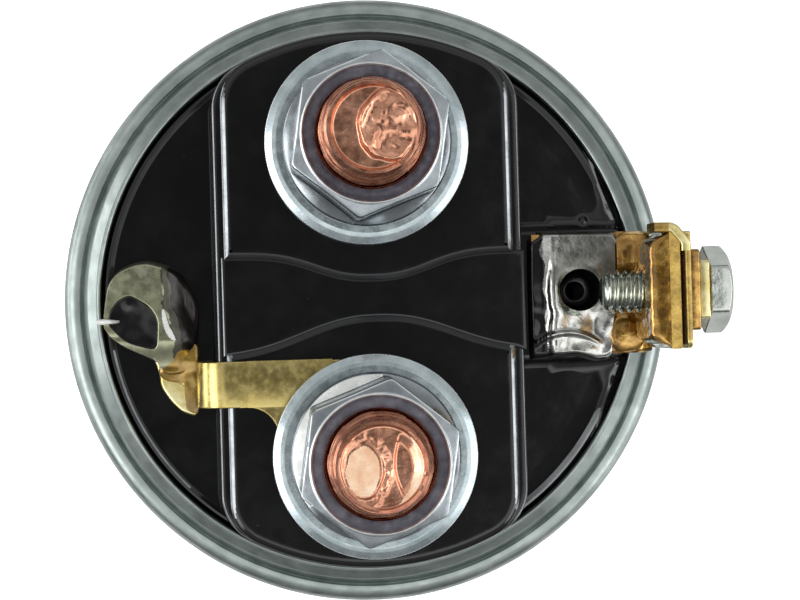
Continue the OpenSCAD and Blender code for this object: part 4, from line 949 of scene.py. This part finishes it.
# Switch terminal
def make_bracket():
    """Bent bracket with the solder pool on it, and lacquer that also buries its threaded collar."""
    floor_w, tab_w, sheet_t = 12.1, 11.2, 1.0
    path = np.concatenate([[(x, 63.9) for x in np.linspace(16.4, 27.0, 12)],
                           arc((27.2, 65.2), 1.3, -90, 0, 10),
                           [(28.5, z) for z in np.linspace(65.6, TAB_TOP_Z, 10)]])
    widths = [floor_w if x < 27.1 else tab_w for x, z in path]
    obj = build("bracket_sheet", strip(path, widths, sheet_t, 0.16, lambda p, q, w: (p, w, q)), "lacquer",
                "switch_bracket", holes=[(BRACKET_HOLE, 2.2, 60, 66)])
    recolour(obj, "film", lambda c, n: c.z > 75.5)

    def pool(share, x, y):
        """Solder with a ring round the hole, low waves, a bulge on the left and a fold in front."""
        ring = 0.06 * hill(share, 0.1, 0.12)
        edge = dome(step(share, 0.84, 1.0))
        left = 1 - 0.6 * step(-x, -18.6, -17.2)
        waves = (0.16 * (1 - 0.7 * step(y, 0.5, 2.0)) * bumpy(x, y, 0, 0.33, 6)
                 + 0.2 * bumpy(x, y, 0, 0.6, 3) * step(-y, -1.0, 3.0))
        crest = x - 18.3 - 0.35 * bumpy(0, y, 0, 0.8, 2)
        bulge = 0.4 * hill(crest, 0, 0.3 if crest < 0 else 1.1) * step(-y, -5.0, 0.0)
        fold = 0.45 * hill(y + 3.9 + 0.1 * (x - 19.6) ** 2, 0, 0.25) * step(-x, -23.5, -21.5)
        return 63.3 + edge * max(1.24, 1.15 + 0.45 * left + ring + waves + bulge + fold)

    outer = fillet([(24.4, -6.75), (24.9, 0.0), (25.2, 6.25), (17.3, 6.35), (16.0, 5.5), (15.95, -6.6),
                    (20.6, -6.3), (22.6, -6.9)], [0.8, 2.0, 0.8, 0.4, 0.8, 0.35, 3.0, 1.0], 6)
    inner = arc(BRACKET_HOLE, 2.12, 0, 360, 41)[:-1]
    shape = ring_surface(BRACKET_HOLE, inner, outer, 260, 50, pool, 63.3, 63.3)
    obj = build("solder_pool", shape, "solder", "switch_solder", crease=70)
    # Painted highlight on the pool's left and lower parts.
    recolour(obj, "solder_highlight", lambda c, n: c.x < 18.9 + 0.8 * bumpy(c.x, c.y, 0, 0.7, 9)
             or c.y < -1.6 + 1.2 * bumpy(c.x, c.y, 0, 0.6, 8))
    recolour(obj, "potting", lambda c, n: c.x < 17.4 + 0.7 * bumpy(c.x, c.y, 0, 0.5, 14)
             + 0.6 * step(-c.y, 3.0, 5.0))

    def floor_skin(out, across):
        """Lacquer on the bracket's floor, with two pillows and a fillet up to the tab."""
        half_w, end = 6.12, 28.0
        y = half_w * (2 * across - 1)
        start = 24.0 + 0.9 * step(y, -3.0, 3.0)
        x = start + (end - start) * out
        upper = 0.7 * dome((x - 26.3) / 2.3, (y - 3.6) / 2.5)
        lower = 0.6 * dome((x - 25.7) / 1.9, (y + 4.1) / 2.0)
        corner = 1.6 * exp(-(end - x) / 0.6)
        edge = step(half_w - abs(y), 0.0, 0.3)
        return x, y, 64.42 + edge * (0.12 + upper + lower + corner + 0.05 * bumpy(x, y, 0, 1.1, 11))

    def tab_skin(up, across):
        """Lacquer on the tab, swollen over the threaded collar and rounded at the top."""
        half_w, low, top, round_r = 5.5, 64.9, 75.95, 0.4
        z = low + (top - low) * sin(pi / 2 * up)
        y = half_w * (2 * across - 1)
        reach = 9.0 if z > SCREW_Z else 4.4
        collar = 1.6 * (1 - step(((y / 6.0) ** 4 + ((z - SCREW_Z) / reach) ** 4) ** 0.25, 0.74, 1.0))
        edge = step(half_w - abs(y), 0.0, 0.4) * dome(1 - min(1.0, (top - z) / round_r))
        lumps = 0.1 * bumpy(0, y, 0.25 * z, 1.0, 5) + 0.04 * bumpy(0, y, 0.4 * z, 2.2, 3)
        return 28.02 - edge * (0.25 + collar + lumps), y, z

    build("bracket_lacquer", sheet(44, 100, floor_skin), "lacquer", crease=60)
    obj = build("tab_lacquer", sheet(70, 80, tab_skin), "lacquer", crease=60)
    recolour(obj, "film", lambda c, n: c.z > 75.3 and n.z > 0.3)


def make_screw():
    """Clamp screw along X: threaded shank and a hexagon head."""
    point_x, shank_end, head_x, head_end = 22.3, 32.5, 32.3, span("switch_screw", "x")[1]
    thread_r, core_r, pitch, across_flats, corner_r, steps = 2.1, 1.72, 0.79, 7.5, 4.28, 60
    angles = round_angles(steps)
    rows = [(0.0, point_x), (1.2, point_x), (1.6, point_x + 0.15)]
    for x in np.arange(22.6, 28.4, 0.08):
        lead = step(x, 22.5, 23.2)
        crest = core_r + (thread_r - core_r) * lead
        rows.append(([crest - thread(0.36 * lead, pitch, x - pitch * a / TAU) for a in angles], x))
    rows += [(2.05, shank_end), (0.0, shank_end)]
    build("screw_thread", along_x(revolve(rows, steps, closed=False)), "thread_zinc", "switch_screw",
          origin=(0, 0, SCREW_Z), crease=60)
    hexes = hexagon(across_flats, corner_r, -30, 240)
    bevel = 34.55 - np.maximum(0.0, hexes - 3.55) * 0.62
    rows = [(0.0, head_x), (hexes * 0.97, head_x + 0.02), (hexes, head_x + 0.12)]
    rows += [(hexes, x) for x in np.linspace(32.5, 33.4, 6)]
    rows += [(hexes - drop, bevel + along)
             for drop, along in ((0.0, -0.14), (0.02, -0.06), (0.07, 0.0), (0.14, 0.05))]
    rows += [(3.35, head_end - 0.05), (2.9, head_end), (0.0, head_end)]
    build("screw_head", along_x(revolve(rows, 240, closed=False)), "head_zinc",
          origin=(0, 0, SCREW_Z), crease=30)


def make_clamp():
    """Clamp plate with its bent ear, the dark gap behind it, the square washer and the spacer."""
    hole = hole_loop((0, SCREW_Z), 2.3)
    plate = fillet([(-5.6, 64.45), (5.6, 64.45), (5.6, TAB_TOP_Z), (-5.6, TAB_TOP_Z)],
                   [0.6, 0.6, 0.3, 0.8], 5)
    ear_w, ear_t, ear_z = 3.8, 0.95, 74.25

    def upright(name, loop, low_x, high_x, bevel, look, replaced=None):
        """Plate across X with the screw's hole in it."""
        verts, faces = slab([loop, hole], edged(low_x, high_x, bevel))
        return build(name, ([(w, u, v) for u, v, w in verts], faces), look, replaced)

    obj = upright("clamp_sheet", plate, 29.52, 30.08, 0.16, "pale_brass", "switch_clamp_plate")
    recolour(obj, "film", lambda c, n: c.z > 75.5 and -3.6 < c.y < 3.4)
    # Lacquer in the gap between tab and clamp plate, dark with painted shade.
    upright("shaded_gap_lacquer", box_loop(5.3, 64.6, 74.4, 0.4), 29.02, 29.5, 0.1, "shaded_gap_lacquer")
    path = fillet([(29.6, 3.7), (29.6, 4.5), (28.4, 5.95), (26.6, 5.97)], [0, 0.9, 0.9, 0], 6, closed=False)
    obj = build("clamp_ear", strip(path, ear_w, ear_t, 0.2, lambda p, q, w: (p, q, w + ear_z)),
                "pale_brass")
    # Painted shade on the ear's left end, in the flux's colours.
    recolour(obj, "flux_and_shade", lambda c, n: c.x < 27.6)
    upright("clamp_washer", box_loop(3.9, SCREW_Z - 3.9, SCREW_Z + 3.9, 0.35), 30.1, 31.3, 0.2, "lacquer",
            "switch_square_washer")
    upright("clamp_spacer", box_loop(2.8, SCREW_Z - 3.6, SCREW_Z + 3.6, 0.3), 31.28, 32.33, 0.2, "pale_brass")


# Plunger end
def make_plunger():
    """Plunger, its ring, spring seat and plug, turned with small bevels and tool marks."""
    low, high = span("plunger", "z")
    bore_r, groove_r, first_mark, mark_gap, marks = 8.2, 11.1, -8.0, 3, 3
    tool_marks = [(PLUNGER_R - depth, first_mark + mark_gap * k + along) for k in range(marks)
                  for depth, along in ((0, 0), (0.1, 0.1), (0.1, 0.3), (0, 0.4))]
    profile = fillet([(bore_r, low), (PLUNGER_R, low), (PLUNGER_R, -22.76), (groove_r, -22.76),
                      (groove_r, -21.44), (PLUNGER_R, -21.44)] + tool_marks
                     + [(PLUNGER_R, high), (0.0, high), (0.0, 12.0), (bore_r, 12.0)],
                     [0.4, 0.6, 0.1, 0.05, 0.05, 0.1] + [0.02] * 4 * marks + [0.6, 0, 0, 0.5], 4)
    seat = fillet([(12.05, -21.45), (16.1, -21.45), (16.2, -20.9), (16.1, -20.25), (12.05, -20.25)],
                  [0.2, 0.3, 0.3, 0.3, 0.2], 4)
    plug = fillet([(4.2, -23.2), (8.15, -23.2), (8.15, -20.7), (4.2, -20.7)], [0.35, 0.25, 0.25, 0.35], 4)
    for name, outline, steps, look, node in (("turned_plunger", profile, 192, "iron", "plunger"),
                                             ("pressed_seat", seat, 160, "bright_zinc", "spring_seat"),
                                             ("bevelled_plug", plug, 128, "iron", "plunger_plug")):
        build(name, revolve(outline, steps), look, node, body="plunger_set", crease=50)
    open_half = degrees(asin(3.0 / 13.0))
    ring = np.concatenate([arc((0, 0), 13.55, open_half, 360 - open_half, 120),
                           arc((0, 0), 11.2, 360 - open_half * 1.15, open_half * 1.15, 110)])
    build("split_ring", slab([ring], edged(*span("plunger_ring", "z"), 0.2)), "iron", "plunger_ring",
          body="plunger_set", crease=40)


def make_pull_rod():
    """Pull rod with its head and forged eye."""
    rod_r, head_r, head_z, eye_z, eye_half, eye_bore, eye_r = 4.0, 7.6, 9.0, -41.0, 3.0, 4.1, 7.0
    profile = fillet([(0, 11.9), (head_r - 0.1, 11.9), (head_r, head_z), (rod_r, head_z), (rod_r, -33.0),
                      (0.0, -36.2)], [0, 0.4, 0.4, 0.4, 2.5, 0], 5, closed=False)
    build("rod_shank", revolve(profile, 96, closed=False), "rod_steel", "pull_rod", body="pull_rod_set",
          crease=50)
    section = fillet([(eye_bore, -eye_half), (eye_r, -eye_half), (eye_r, eye_half), (eye_bore, eye_half)],
                     [0.4, 0.9, 0.9, 0.4], 5)
    build("rod_eye", along_x(revolve(section, 128)), "rod_steel", body="pull_rod_set",
          origin=(0, 0, eye_z), crease=50)


def make_spring(node, body, mean_r, wire, low, high, curls):
    """Compression spring with closed ends."""
    around, sides = 40, 16
    rows = curls * around + 1
    length = high - low - wire
    pitch = wire + 0.5
    verts = []
    for i in range(rows):
        turn = i / around
        if turn <= 1:
            rise = turn * pitch
        elif turn >= curls - 1:
            rise = length - (curls - turn) * pitch
        else:
            rise = pitch + (turn - 1) / (curls - 2) * (length - 2 * pitch)
        a = TAU * turn
        for b in round_angles(sides):
            r = mean_r + wire / 2 * cos(b)
            verts.append((r * cos(a), r * sin(a), low + wire / 2 + rise + wire / 2 * sin(b)))
    obj = build(node + "_wound", capped(verts, sides), "spring_steel", node, body=body, crease=60)
    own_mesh(obj)


make_case()
make_cap()
make_potting()
make_stud("battery", STUD_Y, tip_battery)
make_stud("motor", -STUD_Y, tip_motor, motor_tip_highlight)
for make_part in (make_washer, make_nut):
    make_part("battery", STUD_Y)
    make_part("motor", -STUD_Y)
make_strap()
make_lug()
make_bracket()
make_screw()
make_clamp()
# The switch lead's end is drawn in the black compound's material.
make_wire("switch_lead", 0.3, "compound", [(19.9, 44.6), (19.9, 52.0), (19.9, 58.0)], [0.6, 0.6, 0.5])
make_plunger()
make_pull_rod()
make_spring("return_spring", "housing", mean_r=14.2, wire=1.6, low=-20.1, high=1.15,
            curls=5)
make_spring("meshing_spring", "plunger_set", mean_r=6.0, wire=1.6, low=-20.65, high=8.9,
            curls=9)
make_spring("contact_spring", "contact_rod_set", mean_r=3.6, wire=0.9, low=38.05,
            high=46.56, curls=5)
make_spring("contact_return_spring", "housing", mean_r=3.2, wire=0.6, low=52.11,
            high=61.15, curls=5)

# CAD nodes that stay take their finish from the record's slot
for row in frame["record"]["subparts"]:
    node = frame["nodes"][row["node"]]
    node.data.materials.clear()
    node.data.materials.append(MATS[row["material_slot"]])


# Stage, world and camera
def make_floor():
    """Pale floor below the eye of the pull rod; the camera sees it as white."""
    half_side, floor_z, glow_strength = 400, -48.2, 0.75
    mesh = ready_mesh("floor", bmesh.ops.create_grid, x_segments=1, y_segments=1, size=half_side * MM)
    floor = put("floor", mesh, (0, 0, floor_z))
    mat = bpy.data.materials.new("pale_floor")
    mat.use_nodes = True
    tree = mat.node_tree
    shader = tree.nodes["Principled BSDF"]
    shader.inputs["Base Color"].default_value = srgb("e6e6e6")
    shader.inputs["Roughness"].default_value = 0.9
    seen = add(tree, "LightPath").outputs["Is Camera Ray"]
    glow = add(tree, "Emission", Color=(1, 1, 1, 1),
               Strength=math_node(tree, "MULTIPLY", seen, glow_strength))
    both = add(tree, "AddShader", s0=shader.outputs[0], s1=glow.outputs[0])
    tree.links.new(both.outputs[0], tree.nodes["Material Output"].inputs[0])
    mesh.materials.append(mat)


def make_world():
    """Studio tent: a grey dome with a dark gap overhead and bright panels round it at two heights."""
    world = bpy.data.worlds.new("tent")
    bpy.context.scene.world = world
    world.use_nodes = True
    tree = world.node_tree
    look = add(tree, "TexCoord").outputs["Generated"]
    z = add(tree, "SeparateXYZ", s0=look).outputs[2]
    level = add(tree, "VectorMath", {"operation": "MULTIPLY"}, s0=look, s1=(1, 1, 0)).outputs["Vector"]
    level = add(tree, "VectorMath", {"operation": "NORMALIZE"}, s0=level).outputs["Vector"]

    def nearness(vector, turn):
        """Cosine of the angle between a look and a level direction."""
        away = (cos(radians(turn)), sin(radians(turn)), 0)
        return add(tree, "VectorMath", {"operation": "DOT_PRODUCT"}, s0=vector, s1=away).outputs["Value"]

    def panel(turn, half, height, depth, strength):
        """Soft-edged panel: half width in degrees, height and depth as z of the look."""
        soft_turn, soft_z = 6, 0.04
        low, high = (cos(radians(half + soft)) for soft in (soft_turn, -soft_turn))
        wide = ramp(tree, nearness(level, turn), low, high, 0.0, strength)
        away = math_node(tree, "ABSOLUTE", math_node(tree, "ADD", z, -height))
        return math_node(tree, "MULTIPLY", wide, ramp(tree, away, depth - soft_z, depth + soft_z, 1.0, 0.0))

    # Grey of the dome at each z of the look, from straight down to straight up
    shades = [(-1.0, 0.15), (-0.3, 0.15), (-0.05, 0.2), (0.2, 0.36), (0.5, 0.7), (0.7, 0.75), (0.85, 1.05),
              (0.93, 1.6), (0.958, 1.5), (0.982, 0.26), (1.0, 0.14)]
    sky = add(tree, "ValToRGB", s0=math_node(tree, "MULTIPLY_ADD", z, 0.5, 0.5))
    fill_stops(sky.color_ramp, [(place / 2 + 0.5, (shade, shade, shade, 1)) for place, shade in shades])
    side = ramp(tree, nearness(look, 110), -0.4, 0.3, 0.6, 1.15)
    crown = ramp(tree, nearness(look, -63), -0.35, 0.35, 0.42, 1.3)
    high = ramp(tree, z, 0.72, 0.85)
    lean = add(tree, "Mix", {"data_type": "FLOAT"}, s0=high, s2=side, s3=crown).outputs[0]
    total = math_node(tree, "MULTIPLY", sky.outputs[0], lean)
    for glow in (panel(turn=194, half=27, height=0.55, depth=0.18, strength=3.6),
                 panel(turn=-14, half=28, height=0.54, depth=0.18, strength=3.2),
                 panel(turn=172, half=22, height=-0.02, depth=0.16, strength=3.2),
                 panel(turn=-28, half=12, height=-0.02, depth=0.16, strength=2.0)):
        total = math_node(tree, "ADD", total, glow)
    cool_white, white = (0.985, 0.995, 1.0, 1.0), (1, 1, 1, 1)
    seen = add(tree, "LightPath").outputs["Is Camera Ray"]
    strength = add(tree, "Mix", {"data_type": "FLOAT"}, s0=seen, s2=total, s3=1.0).outputs[0]
    shade = add(tree, "Mix", {"data_type": "RGBA"}, s0=seen, s6=cool_white, s7=white).outputs[2]
    tree.links.new(strength, tree.nodes["Background"].inputs["Strength"])
    tree.links.new(shade, tree.nodes["Background"].inputs["Color"])


def make_camera():
    """Camera almost on the plunger's axis, a little to the left, with the photograph's slight roll."""
    eye, aim, roll = Vector((-8.435, -1.494, 252.522)), Vector((3.385, -0.12, 58.0)), -0.028
    ahead = (aim - eye).normalized()
    right = ahead.cross(Vector((0, 1, 0))).normalized()
    up = right.cross(ahead)
    c, s = cos(roll), sin(roll)
    right, up = right * c + up * s, up * c - right * s
    data = bpy.data.cameras.new("camera")
    data.sensor_width = 36.0
    data.lens = 84.72
    data.clip_start, data.clip_end = 0.01, 20.0
    camera = put("camera", data)
    turn = Matrix((right, up, -ahead)).transposed().to_4x4()
    camera.matrix_world = Matrix.Translation(eye * MM) @ turn
    bpy.context.scene.camera = camera


make_floor()
make_world()
make_camera()
bpy.context.scene.view_settings.view_transform = "Standard"
